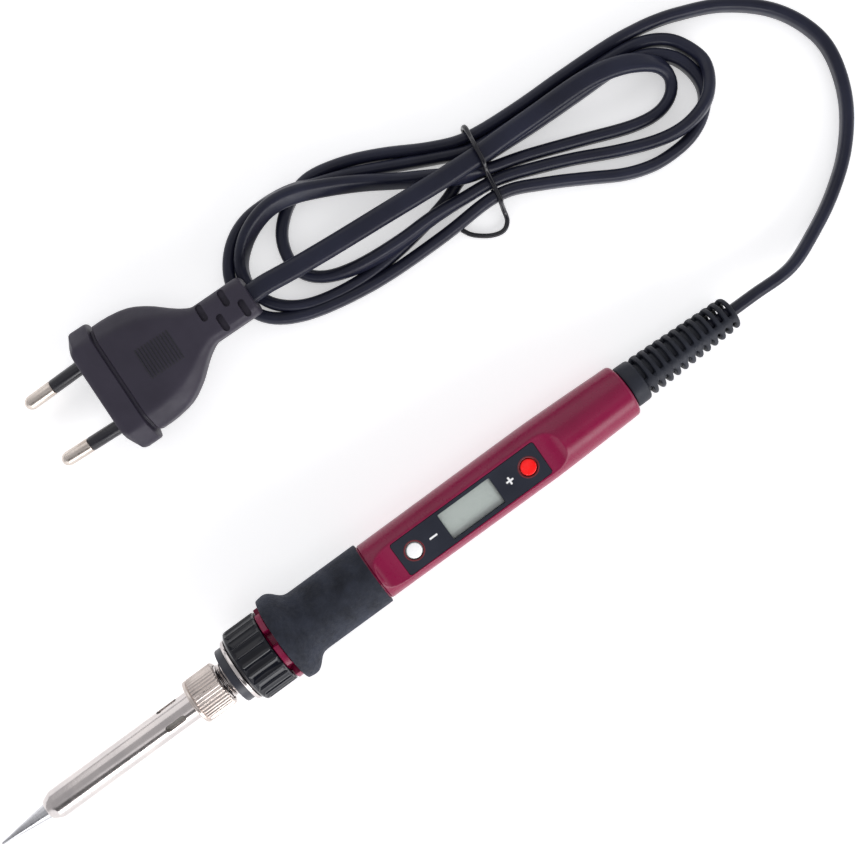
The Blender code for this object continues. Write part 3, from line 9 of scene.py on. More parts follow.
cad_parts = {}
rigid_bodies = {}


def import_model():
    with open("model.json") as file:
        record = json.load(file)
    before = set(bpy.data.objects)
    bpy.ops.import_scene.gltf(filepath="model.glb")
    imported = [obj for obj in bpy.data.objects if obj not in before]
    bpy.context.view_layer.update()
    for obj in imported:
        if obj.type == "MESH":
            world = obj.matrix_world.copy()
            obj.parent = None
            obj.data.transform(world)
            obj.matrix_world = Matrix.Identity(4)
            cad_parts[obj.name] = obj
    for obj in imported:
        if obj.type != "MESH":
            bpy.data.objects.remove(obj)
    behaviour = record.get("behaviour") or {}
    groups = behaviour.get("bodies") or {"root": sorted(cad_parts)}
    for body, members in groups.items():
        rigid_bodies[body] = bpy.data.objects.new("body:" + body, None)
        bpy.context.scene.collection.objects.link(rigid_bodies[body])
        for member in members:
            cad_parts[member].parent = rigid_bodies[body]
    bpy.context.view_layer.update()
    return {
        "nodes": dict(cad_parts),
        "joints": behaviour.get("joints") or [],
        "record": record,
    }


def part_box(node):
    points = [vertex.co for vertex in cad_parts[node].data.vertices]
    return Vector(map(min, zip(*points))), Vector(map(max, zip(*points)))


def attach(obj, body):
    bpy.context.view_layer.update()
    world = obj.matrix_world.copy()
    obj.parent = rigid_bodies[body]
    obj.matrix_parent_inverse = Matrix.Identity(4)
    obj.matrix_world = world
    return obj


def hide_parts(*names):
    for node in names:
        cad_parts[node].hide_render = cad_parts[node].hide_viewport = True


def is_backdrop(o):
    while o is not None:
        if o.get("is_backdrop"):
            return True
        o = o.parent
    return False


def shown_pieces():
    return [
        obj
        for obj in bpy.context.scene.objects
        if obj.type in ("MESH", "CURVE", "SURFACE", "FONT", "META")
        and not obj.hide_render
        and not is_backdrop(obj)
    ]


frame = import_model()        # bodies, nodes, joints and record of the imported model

MM = 0.001
ROUND_SIDES = 96
SMOOTH_ANGLE = math.radians(32)

# Camera, looking straight down
CAMERA_SPOT = (35.1 * MM, 23.5 * MM)
CAMERA_HEIGHT = 392.0 * MM
CAMERA_TURN = math.radians(-36.0)
CAMERA_LENS = 61.2

# Gap between pieces that fit together along the iron
CLEARANCE = 0.3 * MM

# Vents of the sleeve: their angles from the display's direction, place and size
VENT_ANGLES = (-6, 84)
VENT_TO_REAR = 9.6 * MM
VENT_LENGTH = 6.2 * MM
VENT_WIDTH = 1.8 * MM
VENT_REACH = 6 * MM

# Flat cord
CORD_WIDTH = 5.5 * MM
CORD_THICKNESS = 3.3 * MM
CORD_STEP = 1.4 * MM
ON_EDGE = 90
CORD_STRAIGHT = 8.3 * MM
POINTS_IN_BOOT = (26.0, 19.0, 12.0, 5.0)        # millimetres back from the boot's end
POINTS_AT_PLUG = (5.0, 0.3, -3.0)               # millimetres behind the plug's end
PLUG_RIBS = 11

# Route of the cord in millimetres: x, y, height of its middle, and the lean of its wide side,
# 90 on edge and 0 flat. The first run is the loose lead, the others are the turns of the hank.
LEAD = (
    (137.5, 0.0, 4.5, 90), (148.5, 4.1, 3.4, 90), (158.6, 9.4, 2.85, 90), (168.6, 17.2, 2.75, 90),
    (176.7, 28.0, 2.75, 90), (180.7, 40.6, 2.75, 90), (179.2, 50.6, 2.75, 90), (173.7, 59.9, 2.75, 90),
    (164.0, 67.9, 2.75, 90), (153.6, 72.6, 2.75, 90), (147.4, 74.6, 2.75, 90), (141.6, 75.8, 2.75, 90),
    (133.5, 76.8, 2.75, 90), (118.4, 77.3, 2.9, 90), (103.2, 77.4, 3.6, 90), (88.1, 78.6, 4.3, 90),
)
LEFT_1 = (
    (78.1, 82.6, 3.8, 90), (68.2, 88.3, 3.0, 90), (58.2, 92.8, 2.75, 90), (48.1, 95.1, 2.75, 90),
    (41.1, 93.4, 2.75, 90), (36.1, 90.3, 2.75, 90), (32.3, 85.8, 2.75, 90), (30.7, 79.8, 2.75, 90),
    (32.0, 74.7, 2.75, 90), (37.1, 70.4, 3.6, 90), (46.0, 67.5, 6.4, 80), (57.9, 66.3, 8.0, 75),
    (67.8, 66.5, 7.6, 80), (77.9, 66.0, 5.6, 90), (88.1, 65.0, 4.3, 90),
)
RIGHT_1 = (
    (98.3, 61.6, 3.4, 90), (108.4, 57.5, 2.75, 90), (118.4, 52.6, 2.9, 90), (128.2, 48.5, 4.2, 90),
    (135.5, 46.9, 6.6, 85), (142.1, 47.9, 8.0, 80), (147.2, 51.0, 7.4, 80), (150.8, 56.5, 5.2, 85),
    (150.9, 61.6, 3.6, 90), (147.6, 68.2, 2.75, 90), (140.6, 72.3, 2.75, 90), (131.5, 73.7, 2.75, 90),
    (118.5, 74.0, 2.75, 90), (103.3, 74.4, 3.4, 90), (88.1, 75.2, 4.3, 90),
)
LEFT_2 = (
    (78.1, 79.4, 3.8, 90), (68.2, 84.3, 3.2, 90), (58.1, 89.0, 3.6, 90), (50.0, 91.9, 5.0, 80),
    (42.0, 94.2, 7.2, 60), (34.1, 95.9, 5.6, 75), (27.0, 95.6, 3.4, 90), (20.5, 92.6, 2.75, 90),
    (15.5, 86.8, 2.75, 90), (13.7, 79.8, 2.75, 90), (16.0, 72.7, 2.75, 90), (22.0, 67.7, 2.75, 90),
    (32.0, 64.2, 2.75, 90), (48.1, 61.7, 2.75, 90), (68.2, 61.2, 3.4, 90), (86.1, 61.6, 4.3, 90),
)
RIGHT_2 = (
    (98.3, 56.6, 3.4, 90), (108.4, 51.1, 2.75, 90), (116.5, 46.4, 2.75, 90), (123.5, 43.9, 2.75, 90),
    (129.5, 43.2, 2.75, 90), (136.5, 43.8, 2.75, 90), (142.6, 46.6, 2.75, 90), (147.1, 51.6, 2.75, 90),
    (147.9, 57.7, 2.75, 90), (145.6, 64.1, 2.75, 90), (139.6, 68.9, 2.75, 90), (131.5, 70.6, 2.75, 90),
    (118.5, 70.8, 2.75, 90), (103.3, 71.1, 3.4, 90), (88.1, 71.8, 4.3, 90),
)
LEFT_3 = (
    (80.2, 70.9, 3.3, 90), (73.2, 68.3, 2.75, 90), (58.2, 65.5, 2.75, 90), (43.1, 64.7, 2.75, 90),
    (29.0, 67.3, 2.75, 90), (21.0, 72.7, 2.75, 90), (17.9, 79.8, 2.75, 90), (19.0, 85.7, 3.6, 80),
    (22.6, 89.6, 5.6, 65), (27.6, 92.4, 7.6, 55), (34.1, 93.8, 9.4, 50), (41.0, 92.8, 10.6, 45),
    (48.9, 89.7, 9.4, 50), (57.9, 85.3, 7.0, 60), (66.0, 80.3, 5.8, 65), (72.9, 76.0, 6.6, 60),
    (78.7, 72.1, 7.8, 50), (82.8, 70.1, 7.0, 65), (88.1, 68.5, 4.6, 90),
)
RIGHT_3 = (
    (98.3, 65.7, 3.2, 90), (113.4, 60.2, 2.75, 90), (125.5, 55.6, 2.75, 90), (133.5, 54.3, 2.75, 90),
    (139.1, 56.1, 2.75, 85), (141.8, 60.1, 3.4, 75), (140.4, 64.6, 5.6, 45), (135.3, 68.4, 7.4, 15),
    (128.8, 71.0, 7.6, 0), (120.4, 72.4, 7.4, 0), (105.5, 72.6, 7.6, 0), (95.5, 72.7, 8.2, 0),
    (87.4, 72.6, 9.1, 0), (79.3, 72.7, 11.3, 0), (71.4, 73.2, 11.4, 0), (57.7, 74.4, 11.0, 0),
    (42.9, 75.6, 10.9, 0), (30.1, 76.8, 11.1, 0),
)

# Twist tie: its loose loop, then once around the hank
TIE_ROUTE = (
    (73.0, 60.0, 1.0), (74.6, 57.2, 0.8), (78.4, 54.2, 0.8), (82.0, 53.2, 0.8), (84.4, 54.8, 0.9),
    (85.1, 57.6, 2.4), (85.2, 59.3, 6.5), (85.5, 60.0, 7.2), (86.2, 64.5, 7.9), (86.7, 68.2, 9.4),
    (87.2, 70.3, 11.2), (87.8, 75.0, 11.5), (88.4, 77.6, 9.6), (89.0, 80.6, 7.6), (89.0, 81.4, 5.5),
    (89.0, 81.4, 1.6), (88.7, 79.6, 0.7), (87.2, 70.3, 0.7), (86.1, 63.4, 0.7),
)
TIE_RADIUS = 0.65 * MM


# Frames of the iron and of the plug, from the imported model

def iron_matrix():
    """Local X runs from the tip's point to the cord, local Z is the way the display faces."""
    joints = {joint["name"]: joint for joint in frame["joints"]}
    back = -Vector(joints["tip_pull_off"]["axis"])
    display = -Vector(joints["minus_press"]["axis"])
    up = (display - back * display.dot(back)).normalized()
    centre = Vector(joints["nut_turn"]["pos_m"])
    origin = centre + back * ((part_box("soldering_tip")[0].x - centre.x) / back.x)
    turn = Matrix((back, up.cross(back), up)).transposed().to_4x4()
    return Matrix.Translation(origin) @ turn


def plug_matrix():
    """Local X runs from the plug's front to its tail, local Z is its upper side."""
    down = Vector(frame["record"]["mounts"][0]["axis"])
    pins = sum((sum(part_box(f"plug_pin_{side}"), Vector()) / 2 for side in ("left", "right")), Vector()) / 2
    tail = sum(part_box("plug_lead"), Vector()) / 2
    along = tail - pins
    along = (along - down * along.dot(down)).normalized()
    turn = Matrix((along, down.cross(along) * -1, -down)).transposed().to_4x4()
    low, high = span("plug_body", turn)
    return Matrix.Translation(turn @ Vector((low.x, (low.y + high.y) / 2, (low.z + high.z) / 2))) @ turn


def span(node, matrix):
    """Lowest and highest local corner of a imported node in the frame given."""
    inside = matrix.inverted()
    spots = [inside @ vertex.co for vertex in frame["nodes"][node].data.vertices]
    low = Vector(min(spot[axis] for spot in spots) for axis in range(3))
    high = Vector(max(spot[axis] for spot in spots) for axis in range(3))
    return low, high


def ends(node):
    """Front and rear of a node along the iron."""
    low, high = span(node, IRON)
    return low.x, high.x


def reach(node, front=None, rear=None):
    """Largest radius of a node around the iron's axis, over a stretch of it."""
    inside = IRON.inverted()
    spots = [inside @ vertex.co for vertex in frame["nodes"][node].data.vertices]
    return max(math.hypot(spot.y, spot.z) for spot in spots
               if (front is None or spot.x >= front) and (rear is None or spot.x <= rear))


IRON = iron_matrix()
PLUG = plug_matrix()


# Materials

def new_material(name, colour, roughness, metallic=0.0, coat=0.0, sheen=0.0, specular=0.5):
    """Principled material; what is the same all over is set on the shader's own sockets."""
    material = bpy.data.materials.new(name)
    material.use_nodes = True
    shader = material.node_tree.nodes["Principled BSDF"]
    shader.inputs["Base Color"].default_value = (*colour, 1.0)
    shader.inputs["Roughness"].default_value = roughness
    shader.inputs["Metallic"].default_value = metallic
    shader.inputs["Specular IOR Level"].default_value = specular
    shader.inputs["Coat Weight"].default_value = coat
    shader.inputs["Coat Roughness"].default_value = 0.12
    shader.inputs["Sheen Weight"].default_value = sheen
    return material, material.node_tree.nodes, material.node_tree.links, shader


def add_node(nodes, kind, **values):
    node = nodes.new(kind)
    for key, value in values.items():
        setattr(node, key, value)
    return node


def noise(nodes, links, scale, detail=3.0, stretch=(1.0, 1.0, 1.0), roughness=0.55):
    """Noise in the piece's own coordinates, in features a metre."""
    place = add_node(nodes, "ShaderNodeTexCoord")
    mapping = add_node(nodes, "ShaderNodeMapping")
    mapping.inputs["Scale"].default_value = stretch
    texture = add_node(nodes, "ShaderNodeTexNoise")
    texture.inputs["Scale"].default_value = scale
    texture.inputs["Detail"].default_value = detail
    texture.inputs["Roughness"].default_value = roughness
    links.new(place.outputs["Object"], mapping.inputs["Vector"])
    links.new(mapping.outputs["Vector"], texture.inputs["Vector"])
    return texture.outputs["Fac"]


def vary_colour(nodes, links, shader, value, dark, light, low=0.35, high=0.65):
    """Base colour that drifts between two tones with a value from 0 to 1."""
    ramp = add_node(nodes, "ShaderNodeValToRGB")
    ramp.color_ramp.elements[0].position = low
    ramp.color_ramp.elements[0].color = (*dark, 1.0)
    ramp.color_ramp.elements[1].position = high
    ramp.color_ramp.elements[1].color = (*light, 1.0)
    links.new(value, ramp.inputs["Fac"])
    links.new(ramp.outputs["Color"], shader.inputs["Base Color"])


def vary_roughness(nodes, links, shader, value, low, high):
    spread = add_node(nodes, "ShaderNodeMapRange")
    spread.inputs["From Min"].default_value = 0.3
    spread.inputs["From Max"].default_value = 0.7
    spread.inputs["To Min"].default_value = low
    spread.inputs["To Max"].default_value = high
    links.new(value, spread.inputs["Value"])
    links.new(spread.outputs["Result"], shader.inputs["Roughness"])


def add_bump(nodes, links, shader, value, depth):
    """Relief of the depth given, in metres."""
    bump = add_node(nodes, "ShaderNodeBump")
    bump.inputs["Strength"].default_value = 1.0
    bump.inputs["Distance"].default_value = depth
    links.new(value, bump.inputs["Height"])
    links.new(bump.outputs["Normal"], shader.inputs["Normal"])


def moulded(name, dark, light, rough, grain, depth, specular=0.5):
    """Moulded plastic or rubber: slow drift in colour, fine grain in relief and in gloss."""
    material, nodes, links, shader = new_material(name, light, rough[0], specular=specular)
    vary_colour(nodes, links, shader, noise(nodes, links, 60, 4), dark, light)
    vary_roughness(nodes, links, shader, noise(nodes, links, 300, 4), *rough)
    add_bump(nodes, links, shader, noise(nodes, links, grain, 2), depth)
    return material


def turned_metal(name, dark, light, rough, depth=0.000006):
    """Metal with fine marks of the lathe around its axis and faint handling marks."""
    material, nodes, links, shader = new_material(name, light, rough[0], 1.0)
    vary_colour(nodes, links, shader, noise(nodes, links, 120, 5), dark, light)
    vary_roughness(nodes, links, shader, noise(nodes, links, 700, 5, (2.0, 0.25, 0.25)), *rough)
    add_bump(nodes, links, shader, noise(nodes, links, 2600, 2, (2.5, 0.05, 0.05)), depth)
    return material


def foam_rubber():
    """Closed foam: fine pores, a dull surface with a bluish bloom."""
    material, nodes, links, shader = new_material(
        "foam_rubber", (0.02, 0.023, 0.034), 0.72, sheen=0.05, specular=0.25)
    shader.inputs["Sheen Roughness"].default_value = 0.45
    shader.inputs["Sheen Tint"].default_value = (0.55, 0.62, 1.0, 1.0)
    vary_colour(nodes, links, shader, noise(nodes, links, 220, 5),
                (0.012, 0.014, 0.021), (0.026, 0.030, 0.044))
    vary_roughness(nodes, links, shader, noise(nodes, links, 900, 4), 0.6, 0.85)
    pores = add_node(nodes, "ShaderNodeTexVoronoi")
    pores.inputs["Scale"].default_value = 2600
    place = add_node(nodes, "ShaderNodeTexCoord")
    links.new(place.outputs["Object"], pores.inputs["Vector"])
    add_bump(nodes, links, shader, pores.outputs["Distance"], 0.00006)
    return material


def clear_plastic():
    material, nodes, links, shader = new_material("clear_plastic", (0.9, 0.93, 0.92), 0.1)
    shader.inputs["Alpha"].default_value = 0.10
    vary_roughness(nodes, links, shader, noise(nodes, links, 500, 3), 0.05, 0.12)
    add_bump(nodes, links, shader, noise(nodes, links, 400, 2), 0.000004)
    return material


def lcd_glass(length, width):
    """Unlit display: grey-green, with a fine dot grid and a painted shadow of its recess along two of its
    edges.
    """
    material, nodes, links, shader = new_material("lcd_glass", (0.36, 0.41, 0.37), 0.3)
    place = add_node(nodes, "ShaderNodeTexCoord")
    split = add_node(nodes, "ShaderNodeSeparateXYZ")
    links.new(place.outputs["Object"], split.inputs["Vector"])
    # Painted shadow: the colour falls to 0.42 of itself toward the -Y edge and the +X edge, standing in for
    # the shade of the recess.
    painted_edge_shadows = []
    for axis, edge, fade in (("Y", -width / 2, 1.5 * MM), ("X", length / 2, -1.0 * MM)):
        near = add_node(nodes, "ShaderNodeMapRange", interpolation_type="SMOOTHSTEP")
        near.inputs["From Min"].default_value = edge
        near.inputs["From Max"].default_value = edge + fade
        near.inputs["To Min"].default_value = 0.42
        links.new(split.outputs[axis], near.inputs["Value"])
        painted_edge_shadows.append(near.outputs["Result"])
    both = add_node(nodes, "ShaderNodeMath", operation="MULTIPLY")
    links.new(painted_edge_shadows[0], both.inputs[0])
    links.new(painted_edge_shadows[1], both.inputs[1])
    dots = add_node(nodes, "ShaderNodeTexBrick", offset=0.0)
    dots.inputs["Scale"].default_value = 1400
    dots.inputs["Brick Width"].default_value = 0.5
    dots.inputs["Row Height"].default_value = 0.5
    dots.inputs["Mortar Size"].default_value = 0.04
    dots.inputs["Color1"].default_value = (0.37, 0.42, 0.385, 1.0)
    dots.inputs["Color2"].default_value = (0.40, 0.45, 0.41, 1.0)
    dots.inputs["Mortar"].default_value = (0.34, 0.39, 0.355, 1.0)
    links.new(place.outputs["Object"], dots.inputs["Vector"])
    shaded = add_node(nodes, "ShaderNodeVectorMath", operation="SCALE")
    links.new(dots.outputs["Color"], shaded.inputs["Vector"])
    links.new(both.outputs["Value"], shaded.inputs["Scale"])
    links.new(shaded.outputs["Vector"], shader.inputs["Base Color"])
    vary_roughness(nodes, links, shader, noise(nodes, links, 400, 3), 0.25, 0.35)
    return material


def board_laminate():
    """Solder mask over traces."""
    material, nodes, links, shader = new_material("board_laminate", (0.02, 0.16, 0.06), 0.4, coat=0.3)
    traces = add_node(nodes, "ShaderNodeTexBrick", offset=0.35)
    traces.inputs["Scale"].default_value = 260
    traces.inputs["Color1"].default_value = (0.012, 0.11, 0.040, 1.0)
    traces.inputs["Color2"].default_value = (0.020, 0.15, 0.055, 1.0)
    traces.inputs["Mortar"].default_value = (0.045, 0.24, 0.085, 1.0)
    place = add_node(nodes, "ShaderNodeTexCoord")
    links.new(place.outputs["Object"], traces.inputs["Vector"])
    links.new(traces.outputs["Color"], shader.inputs["Base Color"])
    vary_roughness(nodes, links, shader, noise(nodes, links, 500, 3), 0.3, 0.5)
    add_bump(nodes, links, shader, traces.outputs["Fac"], 0.00003)
    return material


# Metals: dark tone, light tone, span of roughness, and the relief in metres where it isn't the usual one
METALS = {
    "bright_steel": ((0.58, 0.54, 0.53), (0.68, 0.63, 0.61), (0.14, 0.22)),
    "knurled_steel": ((0.58, 0.51, 0.47), (0.66, 0.59, 0.55), (0.26, 0.30), 0.0000004),
    "nickel_plate": ((0.56, 0.49, 0.44), (0.72, 0.65, 0.59), (0.20, 0.34)),
    "tip_plating": ((0.46, 0.46, 0.48), (0.62, 0.62, 0.64), (0.22, 0.38)),
}

# Plastics and rubbers: dark tone, light tone, span of roughness, grains a metre, relief in metres, specular
PLASTICS = {
    "white_ceramic": ((0.78, 0.75, 0.69), (0.88, 0.86, 0.82), (0.42, 0.6), 3000, 0.00001, 0.5),
    "burgundy_plastic": ((0.215, 0.003, 0.042), (0.240, 0.005, 0.050), (0.24, 0.31), 5200, 0.000006, 0.35),
    "boot_rubber": ((0.012, 0.014, 0.022), (0.022, 0.025, 0.038), (0.42, 0.6), 3600, 0.00002, 0.3),
    "black_gloss": ((0.002, 0.0025, 0.006), (0.004, 0.005, 0.011), (0.12, 0.2), 900, 0.000004, 0.38),
    "bush_plastic": ((0.012, 0.013, 0.021), (0.022, 0.024, 0.036), (0.30, 0.42), 3000, 0.00002, 0.5),
    "panel_plastic": ((0.011, 0.013, 0.023), (0.018, 0.021, 0.034), (0.30, 0.38), 5000, 0.000006, 0.3),
    "white_plastic": ((0.93, 0.93, 0.93), (0.98, 0.98, 0.98), (0.25, 0.35), 3000, 0.00001, 0.5),
    "red_plastic": ((0.94, 0.006, 0.006), (1.0, 0.010, 0.010), (0.2, 0.3), 3000, 0.00001, 0.35),
    "print_ink": ((0.80, 0.80, 0.80), (0.92, 0.92, 0.92), (0.45, 0.6), 6000, 0.00001, 0.5),
    "part_epoxy": ((0.012, 0.012, 0.012), (0.026, 0.026, 0.026), (0.45, 0.65), 3500, 0.00002, 0.5),
    "wire_jacket": ((0.66, 0.63, 0.57), (0.80, 0.77, 0.71), (0.4, 0.55), 3000, 0.00002, 0.5),
    "cord_vinyl": ((0.008, 0.009, 0.021), (0.014, 0.016, 0.034), (0.30, 0.42), 1500, 0.00002, 0.3),
    "plug_vinyl": ((0.024, 0.020, 0.034), (0.033, 0.028, 0.045), (0.42, 0.56), 5200, 0.00003, 0.35),
    # Rim red: the shell's burgundy as seen in the gap round each button, painted darker as the shade in that
    # gap.
    "rim_red_painted_shade": ((0.10, 0.004, 0.008), (0.15, 0.006, 0.012), (0.3, 0.4), 3000, 0.00001, 0.5),
    # Rib vinyl: the plug's vinyl painted darker, a painted shade for the dark grooves between the grip ribs.
    "rib_vinyl": ((0.009, 0.008, 0.014), (0.013, 0.012, 0.019), (0.5, 0.62), 5200, 0.00002, 0.5),
    "pin_cover_plastic": ((0.010, 0.010, 0.014), (0.020, 0.019, 0.026), (0.2, 0.3), 2500, 0.00001, 0.5),
    "tie_sheath": ((0.004, 0.004, 0.008), (0.010, 0.010, 0.016), (0.16, 0.26), 1200, 0.00002, 0.5),
}
MATERIALS = {name: turned_metal(name, *tones) for name, tones in METALS.items()}
MATERIALS.update({name: moulded(name, *tones) for name, tones in PLASTICS.items()})
MATERIALS["foam_rubber"] = foam_rubber()
MATERIALS["clear_plastic"] = clear_plastic()
MATERIALS["board_laminate"] = board_laminate()
BOOT_RUBBER = MATERIALS["boot_rubber"]
PRINT_INK = MATERIALS["print_ink"]
RIM_RED_PAINTED_SHADE = MATERIALS["rim_red_painted_shade"]
RIB_VINYL_PAINTED_SHADE = MATERIALS["rib_vinyl"]
PIN_COVER = MATERIALS["pin_cover_plastic"]
TIE_SHEATH = MATERIALS["tie_sheath"]


# Building blocks

def mesh_of(name, shape):
    bmesh.ops.recalc_face_normals(shape, faces=shape.faces)
    mesh = bpy.data.meshes.new(name)
    shape.to_mesh(mesh)
    shape.free()
    return mesh


def place_piece(name, mesh, material, body, matrix=IRON, stands_for=(), corner=SMOOTH_ANGLE):
    """Show one piece: smooth with crisp corners, riding on its body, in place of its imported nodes."""
    mesh.materials.append(material)
    mesh.shade_smooth()
    mesh.set_sharp_from_angle(angle=corner)
    piece = bpy.data.objects.new(name, mesh)
    bpy.context.scene.collection.objects.link(piece)
    piece.matrix_world = matrix
    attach(piece, body)
    if stands_for:
        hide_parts(*stands_for)
    return piece


def ring(x, radius, sides=ROUND_SIDES):
    """Points around the X axis; radius is a number or a function of the angle from Z toward Y."""
    points = []
    for index in range(sides):
        angle = 2 * math.pi * index / sides
        size = radius(angle) if callable(radius) else radius
        points.append(Vector((x, size * math.sin(angle), size * math.cos(angle))))
    return points


def skin(name, rings, looped=False):
    shape = bmesh.new()
    loops = [[shape.verts.new(point) for point in points] for points in rings]
    pairs = list(zip(loops, loops[1:]))
    if looped:
        pairs.append((loops[-1], loops[0]))
    else:
        shape.faces.new(loops[0])
        shape.faces.new(loops[-1])
    for first, second in pairs:
        count = len(first)
        for index in range(count):
            after = (index + 1) % count
            shape.faces.new((first[index], first[after], second[after], second[index]))
    return mesh_of(name, shape)


def rounded(piece, width, segments=2, angle=30):
    """Small radius on the corners, so that they catch the light."""
    bevel = piece.modifiers.new("edge", "BEVEL")
    bevel.width = width
    bevel.segments = segments
    bevel.limit_method = "ANGLE"
    bevel.angle_limit = math.radians(angle)
    bevel.harden_normals = False


def carve(piece, cutters):
    """Cut the meshes given out of a piece, in its own coordinates, and keep only the result."""
    for mesh in cutters:
        tool = bpy.data.objects.new("tool", mesh)
        bpy.context.scene.collection.objects.link(tool)
        tool.matrix_world = piece.matrix_world
        cut = piece.modifiers.new("cut", "BOOLEAN")
        cut.operation = "DIFFERENCE"
        cut.solver = "EXACT"
        cut.object = tool
        bpy.context.view_layer.update()
        graph = bpy.context.evaluated_depsgraph_get()
        result = bpy.data.meshes.new_from_object(piece.evaluated_get(graph))
        piece.modifiers.remove(cut)
        piece.data = result
        bpy.data.objects.remove(tool, do_unlink=True)
    piece.data.shade_smooth()
    piece.data.set_sharp_from_angle(angle=SMOOTH_ANGLE)


def rounded_outline(x_low, x_high, half_width, corner, z, steps=6):
    centres = (
        (x_high - corner, half_width - corner, 0),
        (x_low + corner, half_width - corner, 90),
        (x_low + corner, corner - half_width, 180),
        (x_high - corner, corner - half_width, 270),
    )
    outline = []
    for middle_x, middle_y, start in centres:
        for step in range(steps + 1):
            angle = math.radians(start + 90 * step / steps)
            outline.append(Vector((middle_x + corner * math.cos(angle),
                                   middle_y + corner * math.sin(angle), z)))
    return outline


def prism(name, outline, rise):
    return skin(name, [outline, [point + Vector((0, 0, rise)) for point in outline]])


def smooth_line(points, step):
    """Evenly spaced points, as tuples of any length, on a smooth curve through the given ones."""
    dense = []
    last = len(points) - 1
    for index in range(last):
        start, end = points[index], points[index + 1]
        before = points[index - 1] if index else [2 * a - b for a, b in zip(start, end)]
        after = points[index + 2] if index + 2 <= last else [2 * b - a for a, b in zip(start, end)]
        for part in range(16):
            t = part / 16
            dense.append([
                0.5 * (2 * b + (c - a) * t + (2 * a - 5 * b + 4 * c - d) * t * t
                       + (3 * b - a - 3 * c + d) * t ** 3)
                for a, b, c, d in zip(before, start, end, after)])
    dense.append(list(points[-1]))
    for _ in range(10):
        dense = [dense[0]] + [[(a + 2 * b + c) / 4 for a, b, c in zip(dense[i - 1], dense[i], dense[i + 1])]
                              for i in range(1, len(dense) - 1)] + [dense[-1]]
    lengths = [math.dist(a[:3], b[:3]) for a, b in zip(dense, dense[1:])]
    total = sum(lengths)
    pieces = max(1, round(total / step))
    even, travelled = [dense[0]], 0.0
    for index, length in enumerate(lengths):
        while len(even) < pieces and travelled + length >= total * len(even) / pieces:
            share = (total * len(even) / pieces - travelled) / length
            even.append([a + (b - a) * share for a, b in zip(dense[index], dense[index + 1])])
        travelled += length
    even.append(dense[-1])
    return even


def lathe(name, profile, sides=ROUND_SIDES, looped=False):
    """Turned body through (x, radius) points; a looped profile is a tube's."""
    return skin(name, [ring(x, radius, sides) for x, radius in profile], looped)


def waved(depth, count, radius):
    """Radius around the axis with round ridges and round valleys."""
    return lambda angle: radius - depth * (0.5 - 0.5 * math.cos(angle * count))


def fluted(depth, count, radius, sharpness=1.0):
    """Radius around the axis with rounded ridges."""
    return lambda angle: radius - depth * abs(math.sin(angle * count / 2)) ** sharpness


# Front end of the iron

def soldering_tip():
    front, rear = ends("soldering_tip")
    body = reach("soldering_tip")
    cone_end = ends("tip_sleeve")[0] + 0.3 * MM
    cone = 2.15 * MM
    bore = 2.2 * MM
    shoulder = cone_end + 2.6 * MM
    bore_end = rear - 23.5 * MM
    profile = (
        (front, 0.10 * MM), (front + 0.06 * MM, 0.24 * MM), (front + 0.3 * MM, 0.36 * MM),
        (front + 0.33 * cone_end, 0.95 * MM), (front + 0.66 * cone_end, 1.56 * MM), (cone_end * 0.97, cone),
        (cone_end, cone), (shoulder, body), (rear - 0.4 * MM, body), (rear, body - 0.3 * MM), (rear, bore),
        (bore_end, bore), (bore_end - 0.8 * MM, 0.2 * MM),
    )
    place_piece("tip", lathe("tip", profile), MATERIALS["tip_plating"], "tip", stands_for=["soldering_tip"])


def slot_tool(centre, length, width, angle, depth):
    """Long slot with round ends, through both sides of a tube, at an angle from Z toward Y."""
    outline = rounded_outline(centre - length / 2, centre + length / 2, width / 2, width / 2 * 0.98, -depth)
    turn = Matrix.Rotation(-angle, 4, "X")
    mesh = prism("slot", outline, 2 * depth)
    mesh.transform(turn)
    return mesh


def tip_sleeve():
    front, rear = ends("tip_sleeve")
    flange = reach("tip_sleeve")
    outer = reach("tip_sleeve", front, rear - 2 * MM)
    wall = 0.4 * MM
    bore = outer - wall
    cone = 2.7 * MM
    flange_front = rear - 0.9 * MM
    profile = (
        (front, 2.45 * MM), (front, 2.75 * MM), (front + 0.15 * MM, 2.95 * MM),
        (front + 0.5 * cone, 3.52 * MM), (front + 0.85 * cone, outer - 0.10 * MM), (front + cone, outer),
        (flange_front - 0.1 * MM, outer), (flange_front, outer + 0.1 * MM), (flange_front, flange),
        (rear, flange), (rear, bore), (front + cone + 0.2 * MM, bore), (front + 0.4 * MM, 2.45 * MM),
    )
    piece = place_piece("sleeve", lathe("sleeve", profile, looped=True), MATERIALS["bright_steel"], "sleeve",
                        stands_for=["tip_sleeve"])
    centre = rear - VENT_TO_REAR
    carve(piece, [slot_tool(centre, VENT_LENGTH, VENT_WIDTH, math.radians(angle), VENT_REACH)
                  for angle in VENT_ANGLES])


